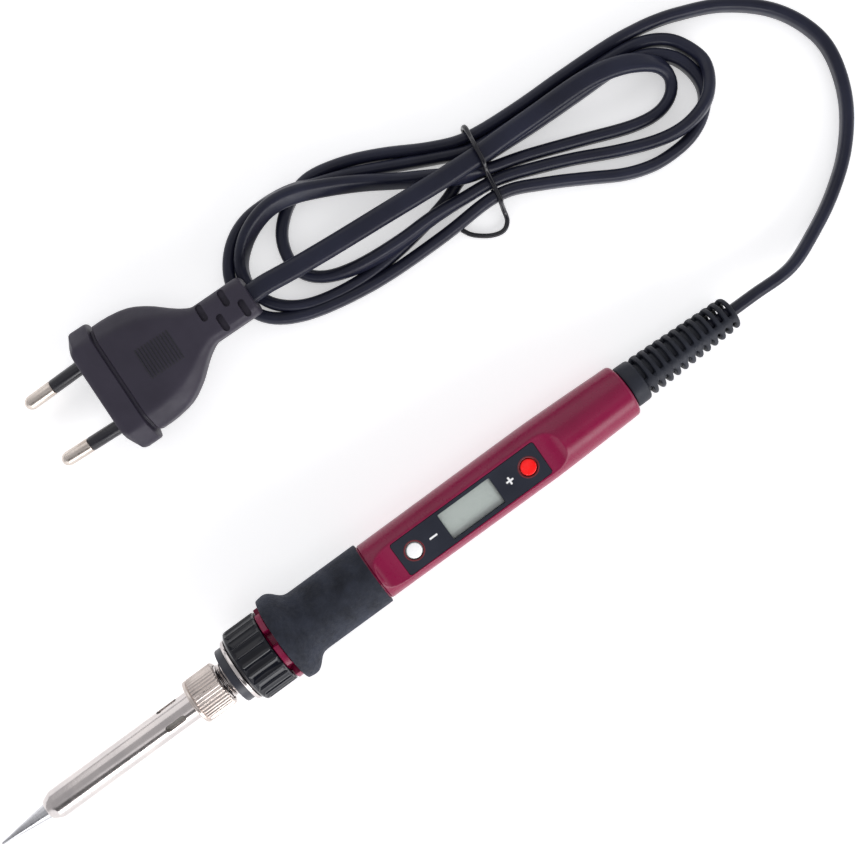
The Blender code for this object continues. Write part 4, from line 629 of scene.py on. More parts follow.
def sleeve_nut():
    """Nut with a plain bright rim, straight knurling and a chamfered rear."""
    front, rear = ends("sleeve_nut")
    outer = reach("sleeve_nut")
    teeth = 40
    sides = teeth * 8
    knurl = waved(0.34 * MM, teeth, outer)
    low = waved(0.06 * MM, teeth, outer - 0.30 * MM)
    bore = 5.2 * MM
    lip = 4.3 * MM
    profile = (
        (front, lip), (front, outer - 0.42 * MM), (front + 0.1 * MM, outer - 0.2 * MM),
        (front + 0.3 * MM, outer - 0.04 * MM), (front + 0.5 * MM, outer), (front + 0.95 * MM, outer),
        (front + 1.05 * MM, outer - 0.08 * MM), (front + 1.15 * MM, low), (front + 1.4 * MM, knurl),
        (rear - 0.5 * MM, knurl), (rear - 0.2 * MM, low), (rear - 0.05 * MM, outer - 0.42 * MM),
        (rear, outer - 0.6 * MM), (rear, bore), (front + 1.9 * MM, bore), (front + 1.9 * MM, lip),
    )
    place_piece("nut", lathe("nut", profile, sides, True), MATERIALS["knurled_steel"], "nut",
                stands_for=["sleeve_nut"], corner=math.radians(50))


def threaded_barrel():
    """Barrel with a real thread ahead of the bush and a short notch where it enters."""
    front, rear = ends("threaded_barrel")
    outer = reach("threaded_barrel", front, front + 4 * MM)
    flange = reach("threaded_barrel")
    pitch, depth = 0.75 * MM, 0.24 * MM
    thread_end = ends("heater_bush")[0] + 1.5 * MM
    count = round((thread_end - front) / (pitch / 6))

    def thread(x):
        fade = min(1.0, (x - front) / (0.6 * MM))

        def radius(angle):
            phase = (x / pitch - angle / (2 * math.pi)) % 1.0
            return outer - depth * (1 - fade) - depth * fade * abs(2 * phase - 1)
        return radius

    bore = outer - 0.7 * MM
    rings = [ring(front, bore, 72)]
    for index in range(count + 1):
        x = front + (thread_end - front) * index / count
        rings.append(ring(x, thread(x), 72))
    tail = (
        (thread_end + 0.3 * MM, outer - 0.3 * MM), (rear - 1.3 * MM, outer - 0.3 * MM),
        (rear - 1.3 * MM, flange), (rear, flange), (rear, bore),
    )
    rings += [ring(x, radius, 72) for x, radius in tail]
    piece = place_piece("barrel", skin("barrel", rings, True), MATERIALS["bright_steel"], "handle",
                        stands_for=["threaded_barrel"])
    bush_front = ends("heater_bush")[0]
    notch = prism("notch", rounded_outline(bush_front - 1.1 * MM, bush_front - 0.1 * MM, 0.9 * MM, 0.3 * MM,
                                           outer - 0.65 * MM), 2 * MM)
    notch.transform(Matrix.Rotation(math.radians(8), 4, "X"))
    carve(piece, [notch])


def heater_bush():
    front, rear = ends("heater_bush")
    flange_front = ends("front_collar")[0] + 2.3 * MM
    outer = reach("heater_bush", front, front + 5 * MM)
    flange = reach("heater_bush")
    bore = 5.2 * MM
    tail = reach("heater_bush", rear - 2 * MM)
    profile = (
        (front + 0.5 * MM, bore), (front + 0.5 * MM, outer - 1.3 * MM),
        (front + 0.35 * MM, outer - 1.15 * MM),
        (front, outer - 0.95 * MM), (front, outer - 0.35 * MM), (front + 0.1 * MM, outer - 0.1 * MM),
        (front + 0.35 * MM, outer), (front + 2.2 * MM, outer), (front + 2.35 * MM, outer - 0.12 * MM),
        (front + 2.6 * MM, outer - 0.12 * MM), (front + 2.75 * MM, outer),
        (flange_front, outer), (flange_front, flange), (flange_front + 1.2 * MM, flange),
        (flange_front + 1.2 * MM, tail), (rear, tail), (rear, bore),
    )
    place_piece("bush", lathe("bush", profile, looped=True), MATERIALS["bush_plastic"], "handle",
                stands_for=["heater_bush"])


def clamp_ring():
    front, rear = ends("clamp_ring")
    outer = reach("clamp_ring")
    bore = outer - 0.8 * MM
    profile = (
        (front, bore), (front, outer - 0.35 * MM), (front + 0.1 * MM, outer - 0.12 * MM),
        (front + 0.3 * MM, outer), (rear - 0.3 * MM, outer), (rear - 0.1 * MM, outer - 0.1 * MM),
        (rear, outer - 0.3 * MM), (rear, bore),
    )
    place_piece("ring", lathe("ring", profile, looped=True), MATERIALS["bright_steel"], "ring",
                stands_for=["clamp_ring"])


def front_collar():
    """Black collar: a chamfered lip, a plain rim and rounded flutes."""
    front, rear = ends("front_collar")
    outer = reach("front_collar")
    bore = 9.15 * MM
    lip = 8.2 * MM
    flutes = 24
    deep = fluted(0.55 * MM, flutes, outer, 0.5)
    half = fluted(0.28 * MM, flutes, outer, 0.5)
    rim = 1.0 * MM
    profile = (
        (front, lip), (front, outer - 1.15 * MM), (front + 0.12 * MM, outer - 0.9 * MM),
        (front + 0.6 * MM, outer - 0.22 * MM), (front + 0.75 * MM, outer - 0.08 * MM),
        (front + 0.9 * MM, outer), (front + rim, outer), (front + rim + 0.3 * MM, half),
        (front + rim + 0.7 * MM, deep), (rear - 0.9 * MM, deep), (rear - 0.5 * MM, half),
        (rear - 0.15 * MM, outer - 0.2 * MM), (rear, outer - 0.35 * MM), (rear, bore),
        (front + 2.0 * MM, bore), (front + 2.0 * MM, lip),
    )
    place_piece("collar", lathe("collar", profile, flutes * 12, True), MATERIALS["black_gloss"], "collar",
                stands_for=["front_collar"])


# Handle

def handle_front():
    """Nose with its coarse thread, ring of lugs and the stem under the grip."""
    front = ends("handle_shell")[0]
    lug_front = ends("front_collar")[1] + CLEARANCE
    lug_rear = lug_front + 1.7 * MM
    stem_end = ends("grip_sleeve")[1] + 1.5 * MM
    nose = 8.85 * MM
    stem = 7.9 * MM
    lug = 10.6 * MM
    pitch, depth = 1.5 * MM, 0.3 * MM
    lugs, gap, phase = 6, 4.4 * MM, math.radians(33)
    sides = 192

    def thread(x):
        return lambda angle: nose - depth * abs(2 * ((x / pitch - angle / (2 * math.pi)) % 1.0) - 1)

    def toothed(high):
        def radius(angle):
            share = ((angle + phase) * lugs / (2 * math.pi)) % 1.0
            half_gap = gap / high * lugs / (2 * math.pi) / 2
            edge = min(share, 1 - share) - half_gap
            rise = max(0.0, min(1.0, 0.5 + edge / 0.018))
            return nose - 0.9 * MM + (high - nose + 0.9 * MM) * rise * rise * (3 - 2 * rise)
        return radius

    count = round((lug_front - 0.5 * MM - front) / (0.25 * MM))
    rings = [ring(front, nose - 1.35 * MM, sides), ring(front, nose - 0.4 * MM, sides)]
    for index in range(1, count + 1):
        x = front + (lug_front - 0.5 * MM - front) * index / count
        rings.append(ring(x, thread(x), sides))
    tail = (
        (lug_front, nose - 0.9 * MM), (lug_front, toothed(lug - 0.2 * MM)),
        (lug_front + 0.15 * MM, toothed(lug)),
        (lug_rear - 0.15 * MM, toothed(lug)), (lug_rear, toothed(lug - 0.2 * MM)), (lug_rear, stem),
        (stem_end, stem), (stem_end, stem - 1.4 * MM), (lug_rear, stem - 1.4 * MM),
        (lug_front, nose - 1.35 * MM),
    )
    rings += [ring(x, radius, sides) for x, radius in tail]
    place_piece("handle_front", skin("handle_front", rings, True), MATERIALS["burgundy_plastic"], "handle",
                stands_for=["handle_shell"])


def grip_sleeve():
    """Foam grip that flares at its front in one long curve."""
    front, rear = ends("grip_sleeve")
    high = reach("grip_sleeve")
    low = reach("grip_sleeve", rear - 5 * MM)
    bore = low - 0.8 * MM
    scale = (high - low) / 3.4
    flare = (
        (0.0, 3.02), (0.06, 3.12), (0.7, 3.26), (1.5, 3.37), (2.2, 3.40), (2.8, 3.30), (3.3, 3.10),
        (3.8, 2.78), (4.3, 2.36), (4.8, 1.86), (5.3, 1.34), (5.8, 0.88), (6.3, 0.50), (6.9, 0.20),
        (7.6, 0.05), (8.4, 0.0),
    )
    profile = [(front, bore)] + [(front + x * MM, low + rise * scale) for x, rise in flare]
    profile += [(rear - 0.3 * MM, low), (rear - 0.08 * MM, low - 0.06 * MM),
                (rear, low - 0.2 * MM), (rear, bore)]
    place_piece("grip", lathe("grip", profile, looped=True), MATERIALS["foam_rubber"], "handle",
                stands_for=["grip_sleeve"])


def handle_radius(x, front, rear):
    """Radius of the coloured length away from its flat."""
    widest = 8.4 * MM
    tail_start = ends("display_panel")[1]
    if x < tail_start:
        share = (x - front) / (tail_start - front)
        size = widest - 0.2 * MM * (1 - share)
    else:
        share = (x - tail_start) / (rear - tail_start)
        size = widest - 0.8 * MM * share ** 1.25
    edge = 1.1 * MM
    if x > rear - edge:
        inward = (x - (rear - edge)) / edge
        size -= edge * (1 - math.sqrt(max(0.0, 1 - inward * inward)))
    if x < front + 0.3 * MM:
        size -= 0.3 * MM - (x - front)
    return size


def facet_height(x, front):
    """Height of the flat above the axis, with a curved run-out at each end."""
    panel_front, panel_rear = ends("display_panel")
    flat = FACET
    run = (
        (front - 1.0 * MM, 9.6 * MM), (front + 0.6 * MM, 7.95 * MM), (front + 1.5 * MM, 7.15 * MM),
        (front + 2.6 * MM, flat + 0.62 * MM), (front + 4.0 * MM, flat + 0.27 * MM),
        (front + 5.6 * MM, flat + 0.07 * MM), (panel_front - 0.3 * MM, flat), (panel_rear + 0.8 * MM, flat),
        (panel_rear + 2.0 * MM, flat + 0.10 * MM), (panel_rear + 3.3 * MM, flat + 0.40 * MM),
        (panel_rear + 4.5 * MM, flat + 0.90 * MM), (panel_rear + 5.6 * MM, flat + 1.60 * MM),
        (panel_rear + 6.8 * MM, flat + 2.60 * MM),
    )
    if x <= run[0][0]:
        return run[0][1]
    for (x_a, z_a), (x_b, z_b) in zip(run, run[1:]):
        if x <= x_b:
            return z_a + (z_b - z_a) * (x - x_a) / (x_b - x_a)
    return run[-1][1] + (x - run[-1][0])


def flat_ring(x, size, height):
    """Section with one flat: points across the flat, around each softened edge, and round the rest."""
    edge = max(0.06, math.acos(min(1.0, height / size)))
    level = min(height, size * math.cos(edge))
    soft = min(0.5 * MM, 0.4 * size * math.sin(edge))
    corner = Vector((size * math.sin(edge), level))
    inside = corner - Vector((soft, 0.0))
    turn = edge + soft / size
    outside = Vector((size * math.sin(turn), size * math.cos(turn)))
    across, fillet, around = 24, 6, 140
    half = [inside * (1 - t) ** 2 + corner * 2 * t * (1 - t) + outside * t * t
            for t in (step / fillet for step in range(fillet + 1))]
    points = [Vector((inside.x * (2 * step / across - 1), level)) for step in range(across)]
    points += half
    points += [Vector((size * math.sin(angle), size * math.cos(angle)))
               for angle in (turn + (2 * math.pi - 2 * turn) * step / around for step in range(1, around))]
    points += [Vector((-point.x, point.y)) for point in reversed(half[1:])]
    return [Vector((x, point.x, point.y)) for point in points]


def handle_body():
    """Coloured length: a round taper with one flat, and a pocket in the flat for the display."""
    front = ends("grip_sleeve")[1] + CLEARANCE
    rear = ends("handle_shell")[1]
    stations = [front, front + 0.1 * MM, front + 0.3 * MM]
    stations += [front + 0.3 * MM + (rear - front - 1.4 * MM) * index / 180 for index in range(1, 181)]
    stations += [rear - 1.1 * MM * (1 - share) for share in (0.2, 0.4, 0.6, 0.75, 0.87, 0.95, 1.0)]
    rings = [flat_ring(x, handle_radius(x, front, rear), facet_height(x, front)) for x in stations]
    sides = len(rings[0])
    tail_bore = 5.5 * MM
    bore = 6.4 * MM
    inner_flat = FACET - 1.9 * MM

    def inner(angle):
        facing = math.cos(angle)
        return min(bore, inner_flat / facing) if facing > 0.05 else bore

    rings += [ring(rear, tail_bore, sides), ring(rear - 2.8 * MM, tail_bore, sides),
              ring(rear - 2.8 * MM, inner, sides), ring(front, inner, sides)]
    mesh = skin("handle_body", rings, True)
    piece = place_piece("handle_body", mesh, MATERIALS["burgundy_plastic"], "handle",
                        stands_for=["handle_shell"])
    x_low, x_high = ends("display_panel")
    half = PANEL_HALF
    floor = FACET - 1.1 * MM
    gap = 0.15 * MM
    pocket = prism("pocket", rounded_outline(x_low - gap, x_high + gap, half + gap, 0.7 * MM + gap, floor),
                   4 * MM)
    opening = prism("opening", rounded_outline(x_low + 1.2 * MM, x_high - 1.2 * MM, half - 0.6 * MM, 0.6 * MM,
                                               FACET - 3 * MM), 4 * MM)
    carve(piece, [pocket, opening])


FACET = span("display_panel", IRON)[1].z
PANEL_HALF = span("display_panel", IRON)[1].y
MINUS_X = sum(ends("minus_button")) / 2
PLUS_X = sum(ends("plus_button")) / 2


def disc(centre, radius, z, steps=64):
    return [Vector((centre + radius * math.cos(2 * math.pi * step / steps),
                    radius * math.sin(2 * math.pi * step / steps), z)) for step in range(steps)]


def display_panel():
    x_low, x_high = ends("display_panel")
    base = FACET - 0.9 * MM
    mesh = prism("panel", rounded_outline(x_low, x_high, PANEL_HALF, 0.7 * MM, base), 0.9 * MM)
    piece = place_piece("panel", mesh, MATERIALS["panel_plastic"], "handle", stands_for=["display_panel"])
    cover_low, cover_high = ends("lcd_cover")
    cover_half = span("lcd_cover", IRON)[1].y
    gap = 0.12 * MM
    under, deep = base - 1 * MM, 4 * MM
    window = prism("window", rounded_outline(cover_low - gap, cover_high + gap, cover_half + gap, 0.25 * MM,
                                             under), deep)
    holes = [prism("hole", disc(centre, radius, under), deep)
             for centre, radius in ((MINUS_X, 2.4 * MM), (PLUS_X, 2.5 * MM))]
    carve(piece, [window, *holes])
    rounded(piece, 0.14 * MM, 3)


def button_rims():
    """Dark red ring round each button, flush with the panel: the burgundy of the shell seen in the gap there,
    painted darker as the shade of that gap.
    """
    for name, centre, inner in (("minus_rim", MINUS_X, 2.42 * MM), ("plus_rim", PLUS_X, 2.52 * MM)):
        lift = FACET - 0.3 * MM
        top = FACET + 0.05 * MM
        outer = inner + 0.42 * MM
        rings = [disc(centre, radius, z) for radius, z in (
            (inner, lift), (inner, top - 0.03 * MM), (inner + 0.05 * MM, top),
            (outer - 0.06 * MM, top), (outer, top - 0.05 * MM), (outer, lift))]
        place_piece(name, skin(name, rings, True), RIM_RED_PAINTED_SHADE, "handle")


def push_buttons():
    """Domed caps with a flange under the panel."""
    for name, centre, radius in (("minus_button", MINUS_X, 2.1 * MM), ("plus_button", PLUS_X, 2.2 * MM)):
        low, high = span(name, IRON)
        base = low.z
        flange_top = base + 0.5 * MM
        rings = [disc(centre, radius + 0.5 * MM, base), disc(centre, radius + 0.5 * MM, flange_top),
                 disc(centre, radius, flange_top)]
        for share in (0.0, 0.25, 0.5, 0.75, 1.0):
            turn = share * math.pi / 2
            edge = 0.28 * MM
            rings.append(disc(centre, radius - edge * (1 - math.cos(turn)),
                              high.z - 0.42 * MM + edge * math.sin(turn)))
        for share in (0.8, 0.6, 0.4, 0.2, 0.05):
            rings.append(disc(centre, (radius - 0.28 * MM) * share, high.z - 0.14 * MM * share * share))
        material = MATERIALS["white_plastic" if name == "minus_button" else "red_plastic"]
        place_piece(f"{name}_cap", skin(name, rings), material, name, stands_for=[name])


def panel_marks():
    """Printed minus and plus beside the buttons."""
    thick = 0.03 * MM
    minus_x, minus_half = MINUS_X + 6.1 * MM, 1.2 * MM
    plus_x, arm = PLUS_X - 6.0 * MM, 1.1 * MM
    stroke = 0.26 * MM
    outlines = (
        ("minus_mark", [(minus_x - minus_half, -stroke), (minus_x + minus_half, -stroke),
                        (minus_x + minus_half, stroke), (minus_x - minus_half, stroke)]),
        ("plus_mark", [(plus_x - stroke, -arm), (plus_x + stroke, -arm), (plus_x + stroke, -stroke),
                       (plus_x + arm, -stroke), (plus_x + arm, stroke), (plus_x + stroke, stroke),
                       (plus_x + stroke, arm), (plus_x - stroke, arm), (plus_x - stroke, stroke),
                       (plus_x - arm, stroke), (plus_x - arm, -stroke), (plus_x - stroke, -stroke)]),
    )
    for name, outline in outlines:
        points = [Vector((x, y, FACET + 0.005 * MM)) for x, y in outline]
        place_piece(name, prism(name, points, thick), PRINT_INK, "handle")


def lcd_face():
    """Display glass under the clear cover, with the painted shadow of its recess along two of its edges."""
    low, high = span("lcd_module", IRON)
    cover_low, cover_high = ends("lcd_cover")
    cover_half = span("lcd_cover", IRON)[1].y
    middle = Matrix.Translation(((low.x + high.x) / 2, 0, high.z))
    outline = rounded_outline(low.x - (low.x + high.x) / 2, high.x - (low.x + high.x) / 2,
                              cover_half + 0.1 * MM, 0.3 * MM, low.z - high.z)
    material = lcd_glass(cover_high - cover_low, 2 * cover_half)
    place_piece("lcd_face", prism("lcd_face", outline, high.z - low.z), material, "handle",
                IRON @ middle, stands_for=["lcd_module"])
    cover = span("lcd_cover", IRON)
    clear = prism("cover", rounded_outline(cover_low, cover_high, cover_half, 0.2 * MM, cover[0].z),
                  cover[1].z - cover[0].z)
    piece = place_piece("display_cover", clear, MATERIALS["clear_plastic"], "handle",
                        stands_for=["lcd_cover"])
    rounded(piece, 0.06 * MM, 2)


# Boot

def cord_boot():
    """Strain relief: a plain collar, then ribs tied by three spines with open windows between them."""
    front, rear = ends("cord_boot")
    shell_rear = ends("handle_shell")[1]
    collar = 6.1 * MM
    collar_front = shell_rear + CLEARANCE
    collar_rear = collar_front + 4.6 * MM
    bore = 3.25 * MM
    profile = (
        (front, bore), (front, 5.9 * MM), (front + 1.7 * MM, 5.9 * MM), (front + 1.7 * MM, 5.2 * MM),
        (collar_front, 5.2 * MM), (collar_front, collar - 0.5 * MM),
        (collar_front + 0.15 * MM, collar - 0.15 * MM),
        (collar_front + 0.5 * MM, collar), (collar_rear - 1.0 * MM, collar - 0.05 * MM),
        (collar_rear - 0.4 * MM, collar - 0.2 * MM), (collar_rear - 0.1 * MM, collar - 0.5 * MM),
        (collar_rear, collar - 0.9 * MM), (collar_rear, bore),
    )
    place_piece("boot_collar", lathe("boot_collar", profile, looped=True), BOOT_RUBBER, "handle",
                stands_for=["cord_boot"])
    ribs = 12
    pitch = (rear - collar_rear) / ribs
    rib_width = 1.5 * MM
    first_radius, last_radius = 6.1 * MM, 4.85 * MM
    spine_cells, window_cells = 2, 6
    liner_rear = collar_rear + 8.6 * pitch
    liner = (
        (collar_rear - 0.5 * MM, 3.1 * MM), (collar_rear - 0.5 * MM, 4.1 * MM),
        (liner_rear - 0.3 * MM, 3.7 * MM),
        (liner_rear, 3.5 * MM), (liner_rear, 3.1 * MM),
    )
    place_piece("boot_liner", lathe("boot_liner", liner, 48, True), BOOT_RUBBER, "handle",
                stands_for=["cord_boot"])
    cells = 3 * (spine_cells + window_cells)
    spine_centre = math.radians(-12)
    step = 2 * math.pi / cells
    start_angle = spine_centre - step * spine_cells / 2
    gap = pitch - rib_width

    stations = [(collar_rear - 0.6 * MM, 1.2 * MM, False)]
    for index in range(ribs):
        begin = collar_rear + index * pitch
        stations.append((begin + 0.5 * gap, 0.55 * MM, False))
        stations.append((begin + gap, 0.0, True))
        stations.append((begin + pitch, 0.0, False))
    stations[-1] = (rear, 0.35 * MM, False)

    shape = bmesh.new()
    outer, inner = [], []
    for x, sink, _ in stations:
        share = max(0.0, (x - collar_rear) / (rear - collar_rear))
        crest = first_radius + (last_radius - first_radius) * share - sink
        hollow = max(3.05 * MM, crest + sink - 2.1 * MM)
        for verts, radius in ((outer, crest), (inner, hollow)):
            verts.append([shape.verts.new((x, radius * math.sin(start_angle + step * k),
                                           radius * math.cos(start_angle + step * k))) for k in range(cells)])

    def solid(row, cell):
        if row < 0 or row >= len(stations) - 1:
            return False
        return stations[row][2] or cell % (spine_cells + window_cells) < spine_cells

    for row in range(len(stations) - 1):
        for cell in range(cells):
            if not solid(row, cell):
                continue
            after, other = (cell + 1) % cells, row + 1
            shape.faces.new((outer[row][cell], outer[row][after], outer[other][after], outer[other][cell]))
            shape.faces.new((inner[row][cell], inner[other][cell], inner[other][after], inner[row][after]))
            if not solid(row - 1, cell):
                shape.faces.new((outer[row][cell], inner[row][cell], inner[row][after], outer[row][after]))
            if not solid(row + 1, cell):
                shape.faces.new((outer[other][cell], outer[other][after],
                                 inner[other][after], inner[other][cell]))
            if not solid(row, (cell - 1) % cells):
                shape.faces.new((outer[row][cell], outer[other][cell], inner[other][cell], inner[row][cell]))
            if not solid(row, after):
                shape.faces.new((outer[row][after], inner[row][after],
                                 inner[other][after], outer[other][after]))
    loose = [vertex for vertex in shape.verts if not vertex.link_faces]
    bmesh.ops.delete(shape, geom=loose, context="VERTS")
    piece = place_piece("boot_ribs", mesh_of("boot_ribs", shape), BOOT_RUBBER, "handle",
                        stands_for=["cord_boot"])
    piece.data.shade_smooth()
    smooth = piece.modifiers.new("round", "SUBSURF")
    smooth.levels = 2
    smooth.render_levels = 2


# Plug

def plug_section(x, half_width, half_height, slope, softness=0.9 * MM, steps=3):
    """Section of the plug: flat top and underside, slopes at the corners, all its corners rounded."""
    y, z = half_width, half_height
    slope_width, slope_height = slope
    corners = [
        (y, z - slope_height), (y - slope_width, z), (slope_width - y, z), (-y, z - slope_height),
        (-y, slope_height - z), (slope_width - y, -z), (y - slope_width, -z), (y, slope_height - z),
    ]
    points = []
    for index, corner in enumerate(corners):
        here = Vector(corner)
        before, after = Vector(corners[index - 1]), Vector(corners[(index + 1) % 8])
        reach_in = min(softness, 0.45 * (before - here).length, 0.45 * (after - here).length)
        start = here + (before - here).normalized() * reach_in
        end = here + (after - here).normalized() * reach_in
        for step in range(steps + 1):
            t = step / steps
            spot = start * (1 - t) ** 2 + here * 2 * t * (1 - t) + end * t * t
            points.append(Vector((x, spot.x, spot.y)))
    return points


def plug_width_share(share):
    """How much of the body's extra width is left at a share of the way to the tail."""
    curve = (
        (0.0, 1.0), (0.10, 1.0), (0.20, 0.985), (0.32, 0.945), (0.42, 0.885), (0.50, 0.80), (0.58, 0.69),
        (0.66, 0.56), (0.73, 0.42), (0.80, 0.28), (0.86, 0.17), (0.92, 0.08), (0.96, 0.03), (1.0, 0.0),
    )
    for (a, high), (b, low) in zip(curve, curve[1:]):
        if share <= b:
            return high + (low - high) * (share - a) / (b - a)
    return 0.0


def plug_height(share, low, high):
    """Half height of the body at a share of the way to the tail, between the tail's and the body's."""
    return low + (high - low) * min(1.0, plug_width_share(share) + 0.1 * (1 - share))


def plug_body():
    """Moulded plug: a flange, a groove behind it, a body that waists into the tail, and fine grip ribs."""
    low, high = span("plug_body", PLUG)
    length = high.x - low.x
    half, tall = (high.y - low.y) / 2, (high.z - low.z) / 2
    flange, groove = 7.0 * MM, 0.9 * MM
    body, body_tall = half - 1.8 * MM, tall - 0.3 * MM
    tail, tail_tall, tail_length = 5.6 * MM, 4.4 * MM, 14.5 * MM
    flange_slope, body_slope, tail_slope = (4.8 * MM, 4.4 * MM), (4.6 * MM, 3.6 * MM), (1.6 * MM, 1.6 * MM)
    shoulder = flange + groove
    tail_start = length - tail_length
    sections = []
    nose = (
        (0.0, 4.7, 0.95), (0.12, 4.15, 0.62), (0.5, 3.2, 0.34), (1.7, 0.34, 0.05), (2.0, 0.08, 0.0),
        (2.5, 0.0, 0.0),
    )
    for x, inset, drop in nose:
        share = min(1.0, x / 2.0)
        slope = [1.9 * MM + (value - 1.9 * MM) * share for value in flange_slope]
        sections.append(plug_section(x * MM, half - inset * MM, tall - drop * MM, slope, 0.9 * MM))
    deep = 0.75 * MM
    stations = (
        (flange - 0.5 * MM, half, tall, flange_slope, 1.4 * MM),
        (flange - 0.12 * MM, half - 0.15 * MM, tall - 0.15 * MM, flange_slope, 1.4 * MM),
        (flange, half - 0.5 * MM, tall - 0.5 * MM, flange_slope, 1.4 * MM),
        (flange + 0.1 * MM, body - deep, body_tall - deep, body_slope, 1.2 * MM),
        (shoulder, body - deep, body_tall - deep, body_slope, 1.2 * MM),
        (shoulder + 0.1 * MM, body - 0.35 * MM, body_tall - 0.35 * MM, body_slope, 1.2 * MM),
        (shoulder + 0.45 * MM, body, body_tall, body_slope, 1.2 * MM),
    )
    sections += [plug_section(*station) for station in stations]
    steps = 30
    for step in range(1, steps + 1):
        share = step / steps
        x = shoulder + 0.45 * MM + (tail_start - shoulder - 0.45 * MM) * share
        wide = plug_width_share(share)
        width = tail + (body - tail) * wide
        height = plug_height(share, tail_tall, body_tall)
        slope = [thin + (full - thin) * wide for full, thin in zip(body_slope, tail_slope)]
        sections.append(plug_section(x, width, height, slope, 1.2 * MM))
    for back, inset in ((1.2, 0.0), (0.6, 0.12), (0.25, 0.35), (0.05, 0.7), (0.0, 1.1)):
        slope = [value - 0.3 * inset * MM for value in tail_slope]
        sections.append(plug_section(length - back * MM, tail - inset * MM, tail_tall - inset * MM,
                                     slope, 1.0 * MM))
    piece = place_piece("plug", skin("plug", sections), MATERIALS["plug_vinyl"], "handle", PLUG,
                        stands_for=["plug_body"])
    cutters = []
    for along, side in ((0.10, 1), (0.33, -1), (0.58, 1), (0.80, -1)):
        x = tail_start + tail_length * along
        y = side * 2.6 * MM
        for level in (-1, 1):
            base = tail_tall - 1.5 * MM if level > 0 else -tail_tall - 1 * MM
            outline = rounded_outline(x - 0.95 * MM, x + 0.95 * MM, 2.5 * MM, 0.93 * MM, base)
            cutters.append(prism("slot", [point + Vector((0, y, 0)) for point in outline], 2.5 * MM))
    carve(piece, cutters)
    rib_pitch, rib_half = 0.95 * MM, 4.4 * MM
    for index in range(PLUG_RIBS):
        x = 15.2 * MM + index * rib_pitch
        shift = -0.4 * MM
        rings = []
        for y_share in (-1.0, -0.94, -0.8, 0.8, 0.94, 1.0):
            swell = 0.02 * MM if abs(y_share) == 1.0 else 0.26 * MM if abs(y_share) < 0.9 else 0.18 * MM
            y = shift + rib_half * y_share
            share = (x - shoulder) / (tail_start - shoulder)
            top = plug_height(share, tail_tall, body_tall)
            rings.append([Vector((x + dx * MM, y, top + up)) for dx, up in
                          ((-0.26, -0.3 * MM), (-0.24, 0.0), (-0.14, 0.75 * swell), (0.0, swell),
                           (0.14, 0.75 * swell), (0.24, 0.0), (0.26, -0.3 * MM))])
        # The ribs take the darker vinyl: painted shade of the grooves between them.
        place_piece(f"plug_rib_{index + 1}", skin("plug_rib", rings), RIB_VINYL_PAINTED_SHADE, "handle", PLUG)


def plug_pins():
    """Round pins with domed ends, each with its insulating sleeve."""
    for side, sign in (("left", -1), ("right", 1)):
        length = 19.0 * MM
        turn = Matrix.Rotation(math.pi + sign * math.radians(1.7), 4, "Z")
        centre = 9.4 * MM * sign
        place = PLUG @ Matrix.Translation((0, centre, 0)) @ turn
        radius = 2.0 * MM
        core = radius - 0.7 * MM
        pin = (
            (-4.0 * MM, core), (10.05 * MM, core), (10.05 * MM, radius - 0.12 * MM), (10.2 * MM, radius),
            (length - 1.9 * MM, radius), (length - 1.2 * MM, radius - 0.18 * MM),
            (length - 0.6 * MM, radius - 0.55 * MM),
            (length - 0.2 * MM, radius - 1.05 * MM), (length, radius - 1.7 * MM),
        )
        place_piece(f"pin_{side}", lathe("pin", pin, 48), MATERIALS["nickel_plate"], "handle", place,
                    stands_for=[f"plug_pin_{side}"])
        sleeve = (
            (-4.0 * MM, core + 0.05 * MM), (-4.0 * MM, radius - 0.02 * MM), (9.7 * MM, radius - 0.02 * MM),
            (9.95 * MM, radius - 0.15 * MM), (10.0 * MM, radius - 0.35 * MM), (10.0 * MM, core + 0.05 * MM),
        )
        place_piece(f"pin_cover_{side}", lathe("pin_cover", sleeve, 48, True), PIN_COVER, "handle", place,
                    stands_for=[f"pin_sleeve_{side}"])


# Cord, twist tie and surroundings

def cord_route():
    """Points of the cord with the lean of its section, from inside the boot to inside the plug."""
    rear = ends("cord_boot")[1]
    leaves = IRON @ Vector((rear + CLEARANCE, 0, 0))
    inside = [(*(IRON @ Vector((rear - back * MM, 0, 0))), ON_EDGE) for back in POINTS_IN_BOOT]
    straight = [(*leaves, ON_EDGE), (*(IRON @ Vector((rear + CORD_STRAIGHT, 0, 0))), ON_EDGE)]
    turns = [(x * MM, y * MM, z * MM, lean)
             for run in (LEAD, LEFT_1, RIGHT_1, LEFT_2, RIGHT_2, LEFT_3, RIGHT_3) for x, y, z, lean in run]
    length = span("plug_body", PLUG)[1].x
    tail = [(*(PLUG @ Vector((length + ahead * MM, 0, 0))), 0.0) for ahead in POINTS_AT_PLUG]
    return leaves, smooth_line(inside + straight + turns + tail, CORD_STEP)


def sweep_section(name, route, width, thickness, sides=20):
    """Flat section with round edges carried along the route, leaning as each point says."""
    half, radius = (width - thickness) / 2, thickness / 2
    rings = []
    for index, point in enumerate(route):
        here = Vector(point[:3])
        before = Vector(route[max(0, index - 1)][:3])
        after = Vector(route[min(len(route) - 1, index + 1)][:3])
        ahead = (after - before).normalized()
        level = Vector((0, 0, 1)).cross(ahead).normalized()
        upright = ahead.cross(level)
        lean = math.radians(point[3])
        wide = level * math.cos(lean) + upright * math.sin(lean)
        thin = ahead.cross(wide)
        spots = []
        for end in (1, -1):
            for step in range(sides // 2):
                angle = math.pi * (step / (sides // 2 - 1) - 0.5)
                spots.append(here + wide * end * (half + radius * math.cos(angle))
                             + thin * end * radius * math.sin(angle))
        rings.append(spots)
    return skin(name, rings)


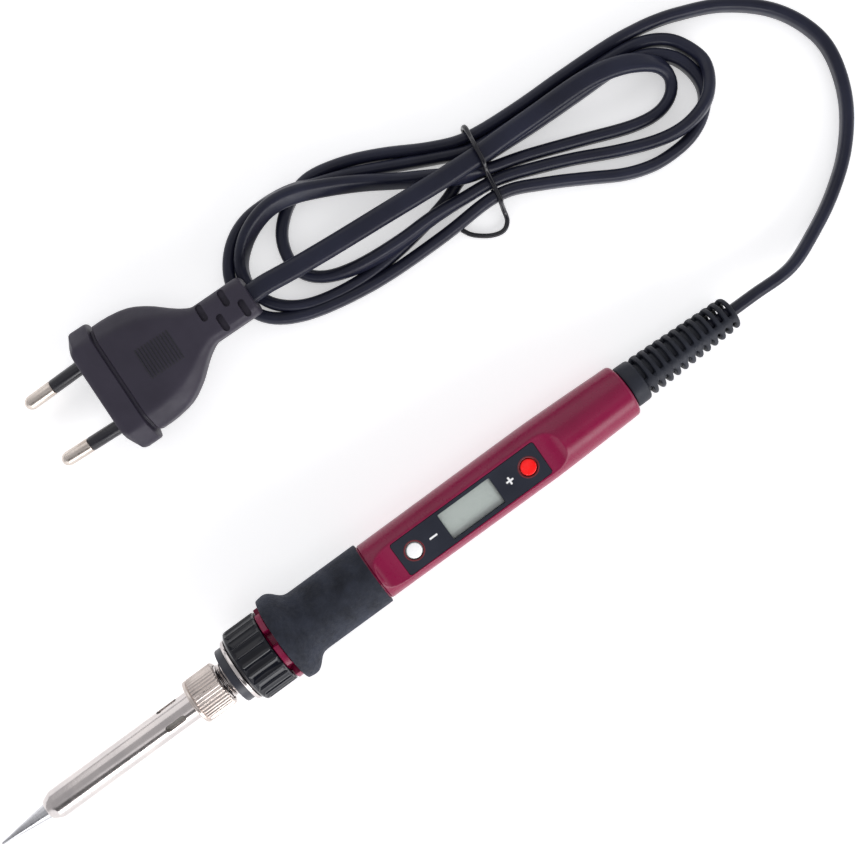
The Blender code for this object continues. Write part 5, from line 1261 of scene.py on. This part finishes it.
def flat_cord():
    leaves, route = cord_route()
    mesh = sweep_section("cord", route, CORD_WIDTH, CORD_THICKNESS)
    piece = place_piece("cord", mesh, MATERIALS["cord_vinyl"], "handle", Matrix(),
                        stands_for=["cord_lead", "cord_hank", "plug_lead"])
    names = ("plug", "pin_left", "pin_right", "pin_cover_left", "pin_cover_right")
    mates = [bpy.data.objects[name] for name in names]
    mates += [bpy.data.objects[f"plug_rib_{index + 1}"] for index in range(PLUG_RIBS)]


def twist_tie():
    """Plastic-covered wire: a loose loop and one turn round the strands."""
    route = smooth_line([(x * MM, y * MM, z * MM, 0.0) for x, y, z in TIE_ROUTE], 0.6 * MM)
    mesh = sweep_section("tie", route, 2.0 * TIE_RADIUS * 1.02, 2.0 * TIE_RADIUS, 16)
    place_piece("tie", mesh, TIE_SHEATH, "handle", Matrix(), stands_for=["twist_tie"])


def dress_inside():
    """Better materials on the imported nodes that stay: heater, wires, board and its parts."""
    for node in frame["nodes"].values():
        if node.hide_render:
            continue
        for slot in node.material_slots:
            key = slot.material.name.split(".")[0]
            if key in MATERIALS:
                slot.material = MATERIALS[key]


def floor():
    shape = bmesh.new()
    size = 3.0
    corners = [shape.verts.new((x * size, y * size, 0.0)) for x, y in ((-1, -1), (1, -1), (1, 1), (-1, 1))]
    shape.faces.new(corners)
    mesh = mesh_of("floor", shape)
    material, nodes, links, shader = new_material("floor_paper", (0.92, 0.92, 0.93), 0.8, 0.0, specular=0.1)
    vary_colour(nodes, links, shader, noise(nodes, links, 3, 2), (0.93, 0.93, 0.935), (0.945, 0.945, 0.95))
    shader.inputs["Emission Color"].default_value = (1.0, 1.0, 1.0, 1.0)
    shader.inputs["Emission Strength"].default_value = 0.46
    mesh.materials.append(material)
    piece = bpy.data.objects.new("floor", mesh)
    bpy.context.scene.collection.objects.link(piece)
    piece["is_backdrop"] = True


def area_light(name, spot, aim, size, power):
    light = bpy.data.lights.new(name, "AREA")
    light.shape = "RECTANGLE"
    light.size, light.size_y = size
    light.energy = power
    holder = bpy.data.objects.new(name, light)
    holder.location = spot
    holder.rotation_euler = (Vector(aim) - Vector(spot)).to_track_quat("-Z", "Y").to_euler()
    bpy.context.scene.collection.objects.link(holder)


def lights():
    """Pale tent: bright all round, a little dimmer overhead, so that metal keeps its shading."""
    world = bpy.data.worlds.new("studio")
    world.use_nodes = True
    nodes, links = world.node_tree.nodes, world.node_tree.links
    back = nodes["Background"]
    place = add_node(nodes, "ShaderNodeTexCoord")
    split = add_node(nodes, "ShaderNodeSeparateXYZ")
    links.new(place.outputs["Generated"], split.inputs["Vector"])
    tent = add_node(nodes, "ShaderNodeValToRGB")
    far = add_node(nodes, "ShaderNodeValToRGB")
    near_tones = (
        (0.0, 1.05), (0.50, 1.15), (0.56, 0.10), (0.86, 0.12), (0.90, 0.95), (0.935, 0.95),
        (0.955, 0.42), (1.0, 0.42),
    )
    far_tones = ((0.0, 0.52), (0.5, 0.46), (0.8, 0.42), (1.0, 0.42))
    for ramp, tones in ((tent, near_tones), (far, far_tones)):
        stops = ramp.color_ramp.elements
        for index, (height, tone) in enumerate(tones):
            stop = stops[index] if index < 2 else stops.new(height)
            stop.position = height
            stop.color = (tone, tone, tone * 1.03, 1.0)
        links.new(split.outputs["Z"], ramp.inputs["Fac"])
    side = add_node(nodes, "ShaderNodeMapRange", interpolation_type="SMOOTHSTEP")
    side.inputs["From Min"].default_value = 0.05
    side.inputs["From Max"].default_value = -0.35
    links.new(split.outputs["Y"], side.inputs["Value"])
    both = add_node(nodes, "ShaderNodeMix", data_type="RGBA")
    links.new(side.outputs["Result"], both.inputs["Factor"])
    links.new(far.outputs["Color"], both.inputs[6])
    links.new(tent.outputs["Color"], both.inputs[7])
    seen = add_node(nodes, "ShaderNodeLightPath")
    backdrop = add_node(nodes, "ShaderNodeMix", data_type="RGBA")
    links.new(seen.outputs["Is Camera Ray"], backdrop.inputs["Factor"])
    links.new(both.outputs[2], backdrop.inputs[6])
    backdrop.inputs[7].default_value = (0.85, 0.85, 0.86, 1.0)
    links.new(backdrop.outputs[2], back.inputs["Color"])
    back.inputs["Strength"].default_value = 1.25
    bpy.context.scene.world = world
    area_light("key", (0.05, -0.85, 0.36), (0.03, 0.0, 0.0), (1.6, 0.4), 7.0)
    area_light("fill", (0.1, 0.9, 0.6), (0.03, 0.04, 0.0), (1.4, 0.8), 2.0)


def camera():
    lens = bpy.data.cameras.new("camera")
    lens.sensor_width = 36.0
    lens.lens = CAMERA_LENS
    lens.clip_start = 0.01
    holder = bpy.data.objects.new("camera", lens)
    holder.location = (*CAMERA_SPOT, CAMERA_HEIGHT)
    holder.rotation_euler = (0.0, 0.0, CAMERA_TURN)
    bpy.context.scene.collection.objects.link(holder)
    bpy.context.scene.camera = holder
    bpy.context.scene.view_settings.view_transform = "Standard"



soldering_tip()
tip_sleeve()
sleeve_nut()
threaded_barrel()
heater_bush()
clamp_ring()
front_collar()
handle_front()
grip_sleeve()
handle_body()
display_panel()
button_rims()
push_buttons()
panel_marks()
lcd_face()
cord_boot()
plug_body()
plug_pins()
flat_cord()
twist_tie()
dress_inside()
floor()
lights()
camera()

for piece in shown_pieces():
    if piece.type == "MESH" and piece.name not in frame["nodes"] and piece.name != "lcd_face":
        piece.data.transform(piece.matrix_world)
        piece.matrix_world = Matrix()
